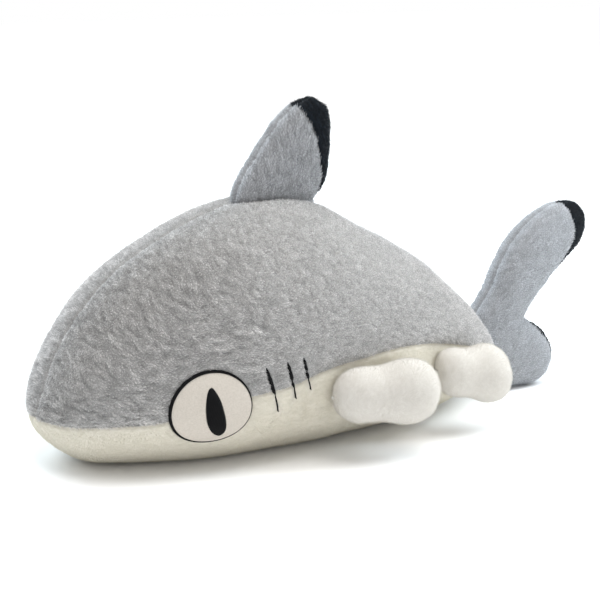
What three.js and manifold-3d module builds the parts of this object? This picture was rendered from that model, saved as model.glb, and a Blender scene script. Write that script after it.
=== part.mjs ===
// Plush shark: a stuffed toy sewn from pile fabric, lying on its flat belly.
// Millimetres, +Z up, nose towards -X, tail towards +X, left flank towards -Y.
// The shark is drawn with x measured from the tip of the nose and then shifted,
// so that the origin is under the middle of the whole toy, on the floor.

import * as THREE from 'three';
import { LoftGeometry } from 'three/addons/geometries/LoftGeometry.js';
import { mergeVertices } from 'three/addons/utils/BufferGeometryUtils.js';
import Module from 'manifold-3d';

const wasm = await Module();
wasm.setup();

// ---------------------------------------------------------------- dimensions
const TOTAL_LENGTH = 480;      // nose to the tip of the upper tail lobe
const BODY_LENGTH = 380;       // nose to the end of the stuffed body
const SKIN = 4;                // thickness of the cover, pile included
const GAP = 0.3;               // air between pieces that touch
const SEAM = 0.3;              // slit between two panels along a seam
const FILL_GAP = 1.1;           // between a cover and the stuffing inside it

const BODY_RINGS = 18;
const RING_POINTS = 20;

// Shape of the stuffed body at stations along its length. "under" is the
// lowest point of the round section: where it is below 0 the belly is
// pressed flat on the floor there.
const BODY_STATIONS = [
	{ x: 0, half: 0, top: 35, under: 35, waist: 35 },
	{ x: 5, half: 23, top: 49, under: 23, waist: 37 },
	{ x: 17, half: 44, top: 80, under: 11, waist: 42 },
	{ x: 33, half: 58, top: 103, under: 2, waist: 46 },
	{ x: 60, half: 73, top: 129, under: -2, waist: 50 },
	{ x: 113, half: 87.5, top: 158.5, under: -8, waist: 56 },
	{ x: 157, half: 91.5, top: 172, under: -8, waist: 60 },
	{ x: 200, half: 92, top: 172.5, under: -8, waist: 60 },
	{ x: 250, half: 86, top: 150, under: -5.5, waist: 58 },
	{ x: 300, half: 73, top: 121, under: -2, waist: 55 },
	{ x: 340, half: 52, top: 87, under: 6, waist: 50 },
	{ x: 365, half: 31, top: 60, under: 17, waist: 44 },
	{ x: 380, half: 0, top: 36, under: 36, waist: 36 },
];

// Seam between the grey back and the white belly, seen from the side: [x, z].
const BELLY_SEAM = [
	[ -10, 34.5 ], [ 0, 35 ], [ 36, 38 ], [ 69, 42 ], [ 122, 54 ], [ 156, 59 ],
	[ 187, 67 ], [ 237, 72.5 ], [ 275, 70 ], [ 310, 62 ], [ 345, 50 ], [ 390, 35 ],
];

const EYE = { x: 96.5, z: 48, wide: 55, tall: 52, azimuth: 24, dip: 14, proud: 2.4 };
const EYE_LINE = 1.3;           // width of the black edge at its widest
const PUPIL = { height: 36.5, width: 13.2, lean: 3, proud: 1, x: 2.3, z: -1.5 };

const GILLS = [
	{ top: [ 134, 73 ], bottom: [ 143.5, 41 ] },
	{ top: [ 150, 75 ], bottom: [ 156, 49 ] },
	{ top: [ 162, 77 ], bottom: [ 167, 54 ] },
];
const GILL_WIDTH = 3.4;
const GILL_PROUD = 1;

const CLOSING_STITCHES = { count: 6, firstX: 324, pitch: 5.5, length: 7, width: 1.4, proud: 0.8 };

// Dorsal fin: leading edge, trailing edge and half thickness, from base to tip.
const DORSAL = {
	front: [ [ 150, 150 ], [ 155, 171 ], [ 165, 190 ], [ 177, 207 ], [ 189, 223 ], [ 203, 236 ], [ 217, 244 ] ],
	rear: [ [ 216, 150 ], [ 220, 169 ], [ 229, 185 ], [ 231, 203 ], [ 232, 219 ], [ 231.5, 234 ], [ 221, 244 ] ],
	half: [ 14, 15, 16, 15.5, 14, 11, 2.5 ],
};
// Front edge of the black patch on the tip and trailing edge, from top to base.
const DORSAL_TIP_EDGE = [ [ 199, 249 ], [ 204.5, 238.5 ], [ 211.5, 228.5 ], [ 216.5, 214 ], [ 220, 197 ], [ 221, 182 ], [ 218, 165 ] ];
const DORSAL_SWING = 20;        // degrees to each side
const DORSAL_CLEARANCE = 0.8;

// Tail: an upper and a lower lobe, each between a front and a rear edge.
const TAIL_UPPER = {
	front: [ [ 366, 57 ], [ 372, 66 ], [ 386, 82 ], [ 396, 101 ], [ 409, 119 ], [ 426, 134 ], [ 447, 144 ], [ 468, 146 ] ],
	rear: [ [ 368, 14 ], [ 398, 34 ], [ 420, 62 ], [ 433, 75 ], [ 446, 87 ], [ 461, 99 ], [ 474, 114 ], [ 480, 133 ] ],
	half: [ 13, 15, 15.5, 15.5, 15, 13.5, 10, 3 ],
};
const TAIL_LOWER = {
	front: [ [ 366, 57 ], [ 385, 60 ], [ 407, 62 ], [ 424, 53 ], [ 437, 43 ], [ 446, 30 ], [ 448, 17 ] ],
	rear: [ [ 368, 14 ], [ 381, 7 ], [ 396, 3.5 ], [ 410, 2 ], [ 424, 1.5 ], [ 437, 4 ], [ 445, 10 ] ],
	half: [ 13, 15, 15.5, 15, 13.5, 10, 3 ],
};
const TAIL_UPPER_EDGE = [ [ 438, 148 ], [ 452, 145 ], [ 461, 137 ], [ 466, 124 ], [ 464, 111 ], [ 454, 92 ] ];
const TAIL_LOWER_EDGE = [ [ 420, 54 ], [ 431, 43 ], [ 440, 34 ], [ 444, 20 ], [ 438, 1 ] ];
const TAIL_HINGE = { x: 384, z: 35, tilt: 30 };     // the hinge line leans forward by the tilt
const TAIL_SWING = 30;          // degrees to each side

// Stub fins: two pairs of stuffed stubs, swept back along the flanks. Each lies
// along an axis from its front end; radii are given at fractions of its length.
const STUB_PROFILE = [
	{ at: 0, radius: 0 }, { at: 0.06, radius: 12.5 }, { at: 0.21, radius: 19 }, { at: 0.45, radius: 19.5 },
	{ at: 0.7, radius: 23.3 }, { at: 0.9, radius: 17.5 }, { at: 1, radius: 0 },
];
const STUB_FLATNESS = 0.86;     // sideways radius over upright radius
const STUB_CLEARANCE = 0.8;
const STUBS = {
	pectoral_fin: { start: [ 182, -95, 47 ], end: [ 259.5, -113, 47 ], scale: 1 },
	pelvic_fin: { start: [ 277, -82, 49 ], end: [ 340, -86, 40 ], scale: 0.94 },
};

const COLORS = {
	grey: new THREE.Color( 0x8f9093 ),
	white: new THREE.Color( 0xe6e1d8 ),
	stub: new THREE.Color( 0xefeae3 ),
	black: new THREE.Color( 0x0b0c10 ),
	eye: new THREE.Color( 0xddd5cb ),
	thread: new THREE.Color( 0x101012 ),
	fibre: new THREE.Color( 0xf4f4f2 ),
};

// ------------------------------------------------------------ solid geometry
function solidOf( geometry ) {

	const bare = new THREE.BufferGeometry();
	bare.setAttribute( 'position', geometry.attributes.position );
	bare.setIndex( geometry.index );
	const merged = mergeVertices( bare, 1e-4 );
	const vertProperties = new Float32Array( merged.attributes.position.array );
	const triVerts = new Uint32Array( merged.index.array );
	return new wasm.Manifold( new wasm.Mesh( { numProp: 3, vertProperties, triVerts } ) );

}

function geometryOf( solid ) {

	const mesh = solid.getMesh();
	const geometry = new THREE.BufferGeometry();
	geometry.setAttribute( 'position', new THREE.BufferAttribute( mesh.vertProperties, 3 ) );
	geometry.setIndex( new THREE.BufferAttribute( mesh.triVerts, 1 ) );
	geometry.computeVertexNormals();
	return geometry;

}

function box( width, depth, height, x, y, z ) {

	const geometry = new THREE.BoxGeometry( width, depth, height );
	geometry.translate( x, y, z );
	return solidOf( geometry );

}

const REACH = 1000;             // larger than the toy, for cutting boxes
const leftSide = box( REACH, REACH, REACH, 0, - REACH / 2 - SEAM / 2, 0 );
const rightSide = box( REACH, REACH, REACH, 0, REACH / 2 + SEAM / 2, 0 );

// The left half of a solid and its mirror image, so that both flanks are alike.
function symmetric( solid ) {

	const lap = 0.02;
	const half = solid.intersect( box( REACH, REACH, REACH, 0, lap - REACH / 2, 0 ) );
	return half.add( half.mirror( [ 0, 1, 0 ] ) );

}

// A prism across the toy from an outline drawn from the side, in x and z.
function sideCutter( outline, depth = REACH ) {

	const shape = new THREE.Shape( outline.map( ( [ x, z ] ) => new THREE.Vector2( x, z ) ) );
	const geometry = new THREE.ExtrudeGeometry( shape, { depth, bevelEnabled: false } );
	geometry.translate( 0, 0, - depth / 2 );
	geometry.rotateX( Math.PI / 2 );
	return solidOf( geometry );

}

function smoothLine( points, count ) {

	const curve = new THREE.SplineCurve( points.map( ( [ x, z ] ) => new THREE.Vector2( x, z ) ) );
	return curve.getPoints( count ).map( ( p ) => [ p.x, p.y ] );

}

// ----------------------------------------------------------------- body shape
const roundParameter = ( x ) => Math.acos( 1 - 2 * x / BODY_LENGTH ) / Math.PI;

// Value of one station column at a round parameter, on a smooth cubic.
function stationValue( key, u ) {

	const knots = BODY_STATIONS.map( ( s ) => roundParameter( s.x ) );
	const values = BODY_STATIONS.map( ( s ) => s[ key ] );
	let i = 0;
	while ( i < knots.length - 2 && u > knots[ i + 1 ] ) i ++;
	const slope = ( k ) => {

		const a = Math.max( k - 1, 0 );
		const b = Math.min( k + 1, knots.length - 1 );
		return ( values[ b ] - values[ a ] ) / ( knots[ b ] - knots[ a ] );

	};

	const h = knots[ i + 1 ] - knots[ i ];
	const t = ( u - knots[ i ] ) / h;
	const rise = values[ i + 1 ] - values[ i ];
	const m0 = slope( i ) * h;
	const m1 = slope( i + 1 ) * h;
	return values[ i ] + t * ( m0 + t * ( 3 * rise - 2 * m0 - m1 + t * ( m0 + m1 - 2 * rise ) ) );

}

const topAt = ( x ) => stationValue( 'top', roundParameter( x ) );

function bodyRing( u ) {

	const x = BODY_LENGTH * ( 1 - Math.cos( Math.PI * u ) ) / 2;
	const half = stationValue( 'half', u );
	const top = stationValue( 'top', u );
	const under = stationValue( 'under', u );
	const waist = stationValue( 'waist', u );
	const ring = [];
	for ( let i = 0; i < RING_POINTS; i ++ ) {

		const angle = 2 * Math.PI * i / RING_POINTS;
		const height = Math.sin( angle ) > 0 ? top - waist : waist - under;
		const z = Math.max( 0, waist + height * Math.sin( angle ) );
		ring.push( new THREE.Vector3( x, half * Math.cos( angle ), z ) );

	}

	return ring;

}

function bodySolid() {

	const rings = [];
	const first = 0.012;
	for ( let i = 0; i <= BODY_RINGS; i ++ ) rings.push( bodyRing( first + ( 1 - 2 * first ) * i / BODY_RINGS ) );
	return symmetric( solidOf( new LoftGeometry( rings, { capStart: true, capEnd: true } ) ) );

}

const body = bodySolid();
const bodyHeight = Math.max( ...BODY_STATIONS.map( ( s ) => s.top ) );
const bodyHalf = Math.max( ...BODY_STATIONS.map( ( s ) => s.half ) );

// The body with every side moved out by a distance (or in, where it is negative).
function grownBody( distance ) {

	const middle = [ BODY_LENGTH / 2, 0, bodyHeight / 2 ];
	const grow = [ BODY_LENGTH / 2, bodyHalf, bodyHeight / 2 ].map( ( size ) => ( size + distance ) / size );
	return body.translate( middle.map( ( m ) => - m ) ).scale( grow ).translate( middle );

}

// A thin layer that follows the body's surface, from one height above it to another.
const surfaceLayer = ( from, to ) => grownBody( to ).subtract( grownBody( from ) );

// ------------------------------------------------------------- stuffed lobes
// A cushion-shaped lobe between a front and a rear edge, which lie in the
// toy's middle plane. An inset makes the same lobe smaller on every side.
function lobe( { front, rear, half }, inset = 0, sections = 9, points = 12 ) {

	const frontEdge = new THREE.SplineCurve( front.map( ( [ x, z ] ) => new THREE.Vector2( x, z ) ) );
	const rearEdge = new THREE.SplineCurve( rear.map( ( [ x, z ] ) => new THREE.Vector2( x, z ) ) );
	const thickness = new THREE.SplineCurve( half.map( ( h, i ) => new THREE.Vector2( i, h ) ) );
	const rings = [];
	for ( let k = 0; k <= sections; k ++ ) {

		const t = Math.min( k / sections, 1 - 0.012 * inset );
		const a = frontEdge.getPoint( t );
		const b = rearEdge.getPoint( t );
		const middle = a.clone().add( b ).multiplyScalar( 0.5 );
		const chord = b.clone().sub( a );
		const length = chord.length() / 2;
		const least = 2 - inset / 4;
		chord.setLength( Math.max( length - inset, least ) );
		const depth = Math.max( thickness.getPoint( t ).y - inset, least );
		const ring = [];
		for ( let i = 0; i < points; i ++ ) {

			const angle = 2 * Math.PI * i / points;
			const along = Math.cos( angle );
			const side = depth * Math.sin( angle );
			ring.push( new THREE.Vector3( middle.x + chord.x * along, side, middle.y + chord.y * along ) );

		}

		rings.push( ring );

	}

	return symmetric( solidOf( new LoftGeometry( rings, { capStart: true, capEnd: true } ) ) );

}

// ------------------------------------------------------------------- the toy
const group = new THREE.Group();
group.position.x = - TOTAL_LENGTH / 2;

// Cutting can leave hair-thin slivers beside a piece: only the piece itself is kept.
function withoutSlivers( solid ) {

	return solid.decompose().reduce( ( a, b ) => ( b.volume() > a.volume() ? b : a ) );

}

function addPart( name, solid, color, roughness ) {

	const material = new THREE.MeshStandardMaterial( { color, roughness, metalness: 0 } );
	const mesh = new THREE.Mesh( geometryOf( withoutSlivers( solid ) ), material );
	mesh.name = name;
	group.add( mesh );

}

// One piece on each flank: the given solid is the left one.
function addPair( name, solid, color, roughness ) {

	addPart( `${name}_left`, solid, color, roughness );
	addPart( `${name}_right`, solid.mirror( [ 0, 1, 0 ] ), color, roughness );

}

// Body: stuffing, two back panels and one belly panel.
function addBody() {

	const cover = body.subtract( grownBody( - SKIN ) );
	const seam = smoothLine( BELLY_SEAM, 16 );
	const shifted = ( dz ) => [ ...seam.map( ( [ x, z ] ) => [ x, z + dz ] ), [ 390, - 20 ], [ - 10, - 20 ] ];
	const belly = cover.intersect( sideCutter( shifted( - SEAM / 2 ) ) );
	const back = cover.subtract( sideCutter( shifted( SEAM / 2 ) ) );
	addPair( 'back_panel', back.intersect( leftSide ), COLORS.grey, 0.95 );
	addPart( 'belly_panel', belly, COLORS.white, 0.95 );
	addPart( 'body_stuffing', grownBody( - SKIN - FILL_GAP ), COLORS.fibre, 1 );

}

// A straight cutter through the left flank at the eye, looking along its axis.
function eyeCutter( outline ) {

	const geometry = new THREE.ExtrudeGeometry( outline, { depth: 60, bevelEnabled: false, curveSegments: 12 } );
	geometry.translate( 0, 0, - 30 );
	geometry.rotateX( Math.PI / 2 );
	geometry.rotateX( - THREE.MathUtils.degToRad( EYE.dip ) );
	geometry.rotateZ( - THREE.MathUtils.degToRad( EYE.azimuth ) );
	geometry.translate( EYE.x, - 80, EYE.z );
	return solidOf( geometry );

}

function oval( wide, tall, x = 0, y = 0 ) {

	return new THREE.Shape().absellipse( x, y, wide / 2, tall / 2, 0, 2 * Math.PI, false );

}

// A leaning slit, blunt at the top and fullest below its middle.
function pupilOutline() {

	const { height, width, lean, x, z } = PUPIL;
	const steps = 18;
	const points = [];
	for ( let i = 0; i < 2 * steps; i ++ ) {

		const t = ( 1 - Math.cos( Math.PI * i / steps ) ) / 2;
		const half = width / 2 * Math.sqrt( 1 - ( 1 - 2 * t ** 1.25 ) ** 2 ) * ( i < steps ? 1 : - 1 );
		points.push( new THREE.Vector2( x + lean * ( 2 * t - 1 ) + half, z + height * ( 0.5 - t ) ) );

	}

	return new THREE.Shape( points );

}

function addEyes() {

	const layer = surfaceLayer( GAP, EYE.proud );
	const patch = layer.intersect( eyeCutter( oval( EYE.wide, EYE.tall ) ) );
	const rim = eyeCutter( oval( EYE.wide + 2 * EYE_LINE, EYE.tall + 2 * EYE_LINE, - 0.6, 0.4 ) )
		.subtract( eyeCutter( oval( EYE.wide + 2 * GAP, EYE.tall + 2 * GAP ) ) );
	const pupil = surfaceLayer( EYE.proud + GAP, EYE.proud + GAP + PUPIL.proud );
	addPair( 'eye_patch', patch, COLORS.eye, 0.8 );
	addPair( 'eye_outline', layer.intersect( rim ), COLORS.thread, 0.7 );
	addPair( 'pupil', pupil.intersect( eyeCutter( pupilOutline() ) ), COLORS.thread, 0.6 );

}

// A slim spindle from one point to another, drawn from the side.
function spindle( [ x0, z0 ], [ x1, z1 ], width ) {

	const length = Math.hypot( x1 - x0, z1 - z0 );
	const side = [ ( z1 - z0 ) / length * width / 2, - ( x1 - x0 ) / length * width / 2 ];
	const steps = 8;
	const outline = [];
	for ( let i = 0; i < 2 * steps; i ++ ) {

		const t = i < steps ? i / steps : 2 - i / steps;
		const bulge = ( i < steps ? 1 : - 1 ) * Math.sin( Math.PI * t );
		outline.push( [ x0 + ( x1 - x0 ) * t + side[ 0 ] * bulge, z0 + ( z1 - z0 ) * t + side[ 1 ] * bulge ] );

	}

	return outline;

}

function addGills() {

	const layer = surfaceLayer( GAP, GAP + GILL_PROUD ).intersect( leftSide );
	GILLS.forEach( ( { top, bottom }, i ) => {

		const stitch = layer.intersect( sideCutter( spindle( top, bottom, GILL_WIDTH ) ) );
		addPart( `gill_stitch_left_${i + 1}`, stitch, COLORS.thread, 0.6 );
		addPart( `gill_stitch_right_${i + 1}`, stitch.mirror( [ 0, 1, 0 ] ), COLORS.thread, 0.6 );

	} );

}

// Ladder stitches that close the opening through which the body was stuffed.
function addClosingStitches() {

	const { count, firstX, pitch, length, width, proud } = CLOSING_STITCHES;
	const deep = 30;
	const run = ( count - 1 ) * pitch;
	let thread = box( run, width, deep, firstX + run / 2, 0, deep / 3 );
	for ( let i = 0; i < count; i ++ ) thread = thread.add( box( width, length, deep, firstX + i * pitch, 0, deep / 3 ) );
	addPart( 'closing_stitches', surfaceLayer( GAP, GAP + proud ).intersect( thread ), COLORS.white, 0.7 );

}

// Dorsal fin: it bends sideways at its base seam, so its underside rises
// away from the hinge line on both sides.
function dorsalBaseCutter() {

	const rise = Math.tan( THREE.MathUtils.degToRad( DORSAL_SWING + 8 ) );
	const wide = 40;
	const notch = [ [ - wide, wide * rise ], [ 0, 0 ], [ wide, wide * rise ], [ wide, - 40 ], [ - wide, - 40 ] ];
	const shape = new THREE.Shape( notch.map( ( [ y, z ] ) => new THREE.Vector2( y, z ) ) );
	const geometry = new THREE.ExtrudeGeometry( shape, { depth: 120, steps: 20, bevelEnabled: false } );
	geometry.rotateX( Math.PI / 2 );
	geometry.rotateZ( Math.PI / 2 );
	geometry.translate( 130, 0, DORSAL_CLEARANCE );
	const position = geometry.attributes.position;
	for ( let i = 0; i < position.count; i ++ ) {

		position.setZ( i, position.getZ( i ) + topAt( position.getX( i ) ) );

	}

	return solidOf( geometry );

}

function addDorsalFin() {

	const cutter = dorsalBaseCutter();
	const outer = lobe( DORSAL ).subtract( cutter );
	const cover = outer.subtract( lobe( DORSAL, SKIN ) );
	const edge = smoothLine( DORSAL_TIP_EDGE, 12 );
	const tip = [ ...edge, [ 260, 168 ], [ 260, 250 ] ];
	const shifted = tip.map( ( [ x, z ] ) => [ x - SEAM, z - SEAM / 4 ] );
	const left = cover.intersect( leftSide );
	addPair( 'dorsal_fin_face', left.subtract( sideCutter( shifted ) ), COLORS.grey, 0.95 );
	addPair( 'dorsal_fin_tip', left.intersect( sideCutter( tip ) ), COLORS.black, 0.9 );
	addPart( 'dorsal_fin_stuffing', lobe( DORSAL, SKIN + FILL_GAP ).subtract( cutter ), COLORS.fibre, 1 );

}

// Tail: it swings sideways about its root seam, which leans with the end of
// the body, so its front end is a blunt wedge.
function tailRootCutter() {

	const slope = Math.tan( THREE.MathUtils.degToRad( TAIL_SWING + 6 ) );
	const wide = 30;
	const notch = [ [ - 60, - wide ], [ wide * slope, - wide ], [ 0, 0 ], [ wide * slope, wide ], [ - 60, wide ] ];
	const shape = new THREE.Shape( notch.map( ( [ x, y ] ) => new THREE.Vector2( x, y ) ) );
	const geometry = new THREE.ExtrudeGeometry( shape, { depth: 200, bevelEnabled: false } );
	geometry.translate( 0, 0, - 100 );
	geometry.rotateY( - THREE.MathUtils.degToRad( TAIL_HINGE.tilt ) );
	geometry.translate( TAIL_HINGE.x, 0, TAIL_HINGE.z );
	return solidOf( geometry ).add( grownBody( STUB_CLEARANCE ) );

}

function addTail() {

	const cutter = tailRootCutter();
	const whole = ( inset ) => lobe( TAIL_UPPER, inset ).add( lobe( TAIL_LOWER, inset ) ).subtract( cutter );
	const left = whole( 0 ).subtract( whole( SKIN ) ).intersect( leftSide );
	const upper = [ ...smoothLine( TAIL_UPPER_EDGE, 12 ), [ 500, 94 ], [ 500, 160 ], [ 438, 160 ] ];
	const lower = [ ...smoothLine( TAIL_LOWER_EDGE, 12 ), [ 438, - 10 ], [ 470, - 10 ], [ 470, 54 ] ];
	const shifted = ( outline, dx, dz ) => outline.map( ( [ x, z ] ) => [ x + dx, z + dz ] );
	const face = left
		.subtract( sideCutter( shifted( upper, - SEAM, - SEAM ) ) )
		.subtract( sideCutter( shifted( lower, - SEAM, 0 ) ) );
	addPair( 'tail_face', face, COLORS.grey, 0.95 );
	addPair( 'tail_upper_tip', left.intersect( sideCutter( upper ) ), COLORS.black, 0.9 );
	addPair( 'tail_lower_tip', left.intersect( sideCutter( lower ) ), COLORS.black, 0.9 );
	addPart( 'tail_stuffing', whole( SKIN + FILL_GAP ), COLORS.fibre, 1 );

}

// A stub fin along its axis; an inset makes it smaller on every side.
function stubSolid( { start, end, scale }, inset ) {

	const from = new THREE.Vector3( ...start );
	const axis = new THREE.Vector3( ...end ).sub( from );
	const length = axis.length();
	const sideways = new THREE.Vector3( - axis.y, axis.x, 0 ).normalize();
	const profile = new THREE.SplineCurve( STUB_PROFILE.map( ( p ) => new THREE.Vector2( p.at, p.radius * scale ) ) );
	const sections = 8;
	const points = 10;
	const trim = inset / length;
	const rings = [];
	for ( let k = 0; k <= sections; k ++ ) {

		const { x: at, y: radius } = profile.getPoint( 0.02 + 0.96 * k / sections );
		const place = from.clone().addScaledVector( axis, trim + at * ( 1 - 2 * trim ) );
		const upright = Math.max( radius - inset, 2 - inset / 4 );
		const ring = [];
		for ( let i = 0; i < points; i ++ ) {

			const angle = 2 * Math.PI * i / points;
			const p = place.clone().addScaledVector( sideways, upright * STUB_FLATNESS * Math.cos( angle ) );
			p.z += upright * Math.sin( angle );
			ring.push( p );

		}

		rings.push( ring );

	}

	return solidOf( new LoftGeometry( rings, { capStart: true, capEnd: true } ) );

}

function addStub( name, stub ) {

	const flank = grownBody( STUB_CLEARANCE );
	const middle = ( stub.start[ 2 ] + stub.end[ 2 ] ) / 2;
	const half = REACH / 2 + SEAM / 2;
	const above = box( REACH, REACH, REACH, 0, 0, middle + half );
	const below = box( REACH, REACH, REACH, 0, 0, middle - half );
	const cover = stubSolid( stub, 0 ).subtract( stubSolid( stub, SKIN ) ).subtract( flank );
	addPair( `${name}_top`, cover.intersect( above ), COLORS.stub, 0.95 );
	addPair( `${name}_bottom`, cover.intersect( below ), COLORS.stub, 0.95 );
	addPair( `${name}_stuffing`, stubSolid( stub, SKIN + FILL_GAP ).subtract( flank ), COLORS.fibre, 1 );

}

addBody();
addEyes();
addGills();
addClosingStitches();
addDorsalFin();
addTail();
for ( const [ name, stub ] of Object.entries( STUBS ) ) addStub( name, stub );

export default group;
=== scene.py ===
"""Plush shark: covers of pile fabric over stuffing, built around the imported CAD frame.

Shapes are worked out in millimetres, with x measured from the tip of the nose, and turned into
frame metres when a mesh is made. Left is towards -Y.
"""

import math

import bmesh
import bpy
import numpy as np
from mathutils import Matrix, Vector
from mathutils.bvhtree import BVHTree


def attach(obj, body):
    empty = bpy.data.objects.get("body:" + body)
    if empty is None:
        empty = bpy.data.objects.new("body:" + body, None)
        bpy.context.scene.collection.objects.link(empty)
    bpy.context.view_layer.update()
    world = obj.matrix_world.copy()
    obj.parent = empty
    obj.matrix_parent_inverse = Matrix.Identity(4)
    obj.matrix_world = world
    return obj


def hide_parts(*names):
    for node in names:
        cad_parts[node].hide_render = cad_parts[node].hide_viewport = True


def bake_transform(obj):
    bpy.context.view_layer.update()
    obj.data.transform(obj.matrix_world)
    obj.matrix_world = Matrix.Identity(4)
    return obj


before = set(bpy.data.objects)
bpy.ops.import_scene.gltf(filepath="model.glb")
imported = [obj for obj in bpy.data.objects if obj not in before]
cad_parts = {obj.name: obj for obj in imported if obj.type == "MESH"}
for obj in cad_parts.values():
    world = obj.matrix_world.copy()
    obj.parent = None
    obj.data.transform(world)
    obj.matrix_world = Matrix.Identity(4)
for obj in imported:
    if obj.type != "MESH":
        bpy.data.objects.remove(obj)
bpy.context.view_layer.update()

# ------------------------------------------------------------------ dimensions
MM = 0.001
TOTAL_LENGTH = 480
BODY_LENGTH = 380

# Round sections of the stuffed body: x, half width, top, lowest point, widest height.
BODY_STATIONS = np.array([
    (0, 0, 35, 35, 35), (5, 23, 49, 23, 37), (17, 44, 80, 11, 42), (33, 58, 103, 2, 46),
    (60, 73, 129, -2, 50), (113, 87.5, 158.5, -8, 56), (157, 91.5, 172, -8, 60),
    (200, 92, 172.5, -8, 60), (250, 86, 150, -5.5, 58), (300, 73, 121, -2, 55),
    (340, 52, 87, 6, 50), (365, 31, 60, 17, 44), (380, 0, 36, 36, 36),
], float)
# Seam between the grey back and the white belly, from the side: x, z.
BELLY_SEAM = [
    (-10, 34.5), (0, 35), (36, 38), (69, 42), (122, 54), (156, 59),
    (187, 67), (237, 72.5), (275, 70), (310, 62), (345, 50), (390, 35),
]

EYE = dict(x=96.5, z=48, wide=55, tall=52, azimuth=24, dip=14, proud=2.4)
PUPIL = dict(height=36.5, width=13.2, x=2.3, z=-1.5, lean=3)
GILLS = [((134, 73), (143.5, 41)), ((150, 75), (156, 49)), ((162, 77), (167, 54))]
GILL_WIDTH = 2.9
STITCH_STEP = 0.4    # between the threads of a gill bar
GILL_GAPS = [(0.62,), (0.5, 0.74), (0.42, 0.68)]   # places along each stitch where it thins out

DORSAL = dict(
    front=[(150, 150), (155, 171), (165, 190), (177, 207), (189, 223), (203, 236), (217, 244)],
    rear=[(216, 150), (220, 169), (229, 185), (231, 203), (232, 219), (231.5, 234), (221, 244)],
    half=[14, 15, 16, 15.5, 14, 11, 2.5],
)
DORSAL_TIP_EDGE = [
    (199, 249), (204.5, 238.5), (211.5, 228.5), (216.5, 214), (220, 197), (221, 182), (218, 165)]
DORSAL_ROOT = dict(x=187, long=34, wide=15, above=120, depth=1.8)    # the fin's oval seam on the back
DORSAL_FOOT = 156                              # the fin's cover starts at this height, inside the back
DORSAL_CREASE = 171                            # height of the crease where the cover leaves the back
TAIL_UPPER = dict(
    front=[
        (366, 57), (372, 66), (384.5, 83), (393.5, 102), (406, 120.5), (423, 136), (445, 146.5), (467, 148)],
    rear=[(368, 14), (396, 35), (416.5, 64), (429, 78), (442, 90.5), (457, 102.5), (472, 116), (479, 134)],
    half=[13, 15, 15.5, 15.5, 15, 13.5, 10, 3],
)
TAIL_LOWER = dict(
    front=[(366, 57), (385, 60), (405, 61), (421, 53), (434, 43.5), (443, 31), (445, 18)],
    rear=[(368, 14), (381, 7), (396, 3.5), (410, 2), (423, 1.5), (435, 4), (442, 10)],
    half=[13, 15, 15.5, 15, 13.5, 10, 3],
)
BLUNTNESS = 2.9     # of the fins' edges: 2 is an oval section
CLOTH = 2.0         # thickness of the covers' cloth
TAIL_UPPER_EDGE = [
    (438, 152), (449.5, 148), (457.5, 139), (461, 126), (456.5, 112), (447.5, 99), (439.5, 89), (437, 78)]
TAIL_LOWER_EDGE = [(418, 54), (428.5, 43.5), (437, 34), (441, 20), (435, 1)]

# Stub fins: radius at shares of the length, then each pair's axis from front to rear end.
STUB_PROFILE = [(0, 0), (0.06, 12.5), (0.21, 19), (0.45, 19.5), (0.7, 23.3), (0.9, 17.5), (1, 0)]
STUB_FLATNESS = 0.86
STUBS = {
    "pectoral_fin": dict(start=(182, -95, 47), end=(259.5, -113, 47), scale=1.0),
    "pelvic_fin": dict(start=(277, -82, 49), end=(340, -86, 40), scale=0.94),
}

# How far the fillings stay inside the outer faces of their covers.
BODY_FILL_INSET = 6.5
LOBE_FILL_INSET = 5.2
STUB_FILL_INSET = 5.5
CLOSING_SEAM = dict(start=324, step=5.5, stitches=6, reach=3.5)

SIDES = {"left": 1, "right": -1}
# Root seams where the covers bend, in frame metres: the bodies, and where the bend starts and ends.
DORSAL_BEND = ("trunk", "dorsal_fin", (-0.05, 0, 0.166), (-0.05, 0, 0.190))
TAIL_BEND = ("trunk", "tail", (0.128, 0, 0.030), (0.160, 0, 0.044))

CAMERA = dict(azimuth=-30, elevation=13, distance=1.2, target=(-0.0288, 0, 0.0937), lens=97.1)
# Area lights: place, target, size, power, tone.
LIGHTS = {
    "overhead": ((0.1, -0.2, 1.7), (0, 0, 0.1), 1.3, 22, (1, 0.985, 0.96)),
    "side": ((1.3, -0.3, 1.1), (0.05, 0, 0.08), 0.9, 22, (0.85, 0.94, 1)),
    "behind": ((-0.25, 1.4, 0.8), (-0.05, 0, 0.1), 1.2, 29, (0.76, 0.9, 1)),
}
WORLD_FILL = 0.6
FLOOR_HALF = 5000    # from the middle to the floor's edge, in millimetres
FLOOR_GAP = 0.4      # the toy stands this little above the floor
FLOOR_GLOW = 0.42    # lifts the far floor to the white of the backdrop
FLOOR_FADE = (0.45, 1.5)    # where that glow starts and is full, in metres


# --------------------------------------------------------------------- numbers
def quality(full):
    return full


def spline(points, t):
    """Points of a uniform Catmull-Rom curve through the given points, at t from 0 to 1."""
    p = np.array(points, float)
    last = len(p) - 1
    place = np.clip(t, 0, 1) * last
    i = np.minimum(place.astype(int), last - 1)
    w = (place - i)[..., None]
    before, a, b, after = p[np.maximum(i - 1, 0)], p[i], p[i + 1], p[np.minimum(i + 2, last)]
    m0, m1 = (b - before) / 2, (after - a) / 2
    return a + w * (m0 + w * (3 * (b - a) - 2 * m0 - m1 + w * (m0 + m1 - 2 * (b - a))))


def grid(down, across):
    """Two grids, one with the values down the rows and one with those across the columns."""
    return np.meshgrid(down, across, indexing="ij")


def ease(low, high, value):
    """0 below low, 1 above high, smooth between."""
    t = np.clip((value - low) / (high - low), 0, 1)
    return t * t * (3 - 2 * t)


HASH = np.random.default_rng(11).permutation(4096)
HASH_VALUES = np.random.default_rng(12).uniform(-1, 1, 4096)


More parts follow.
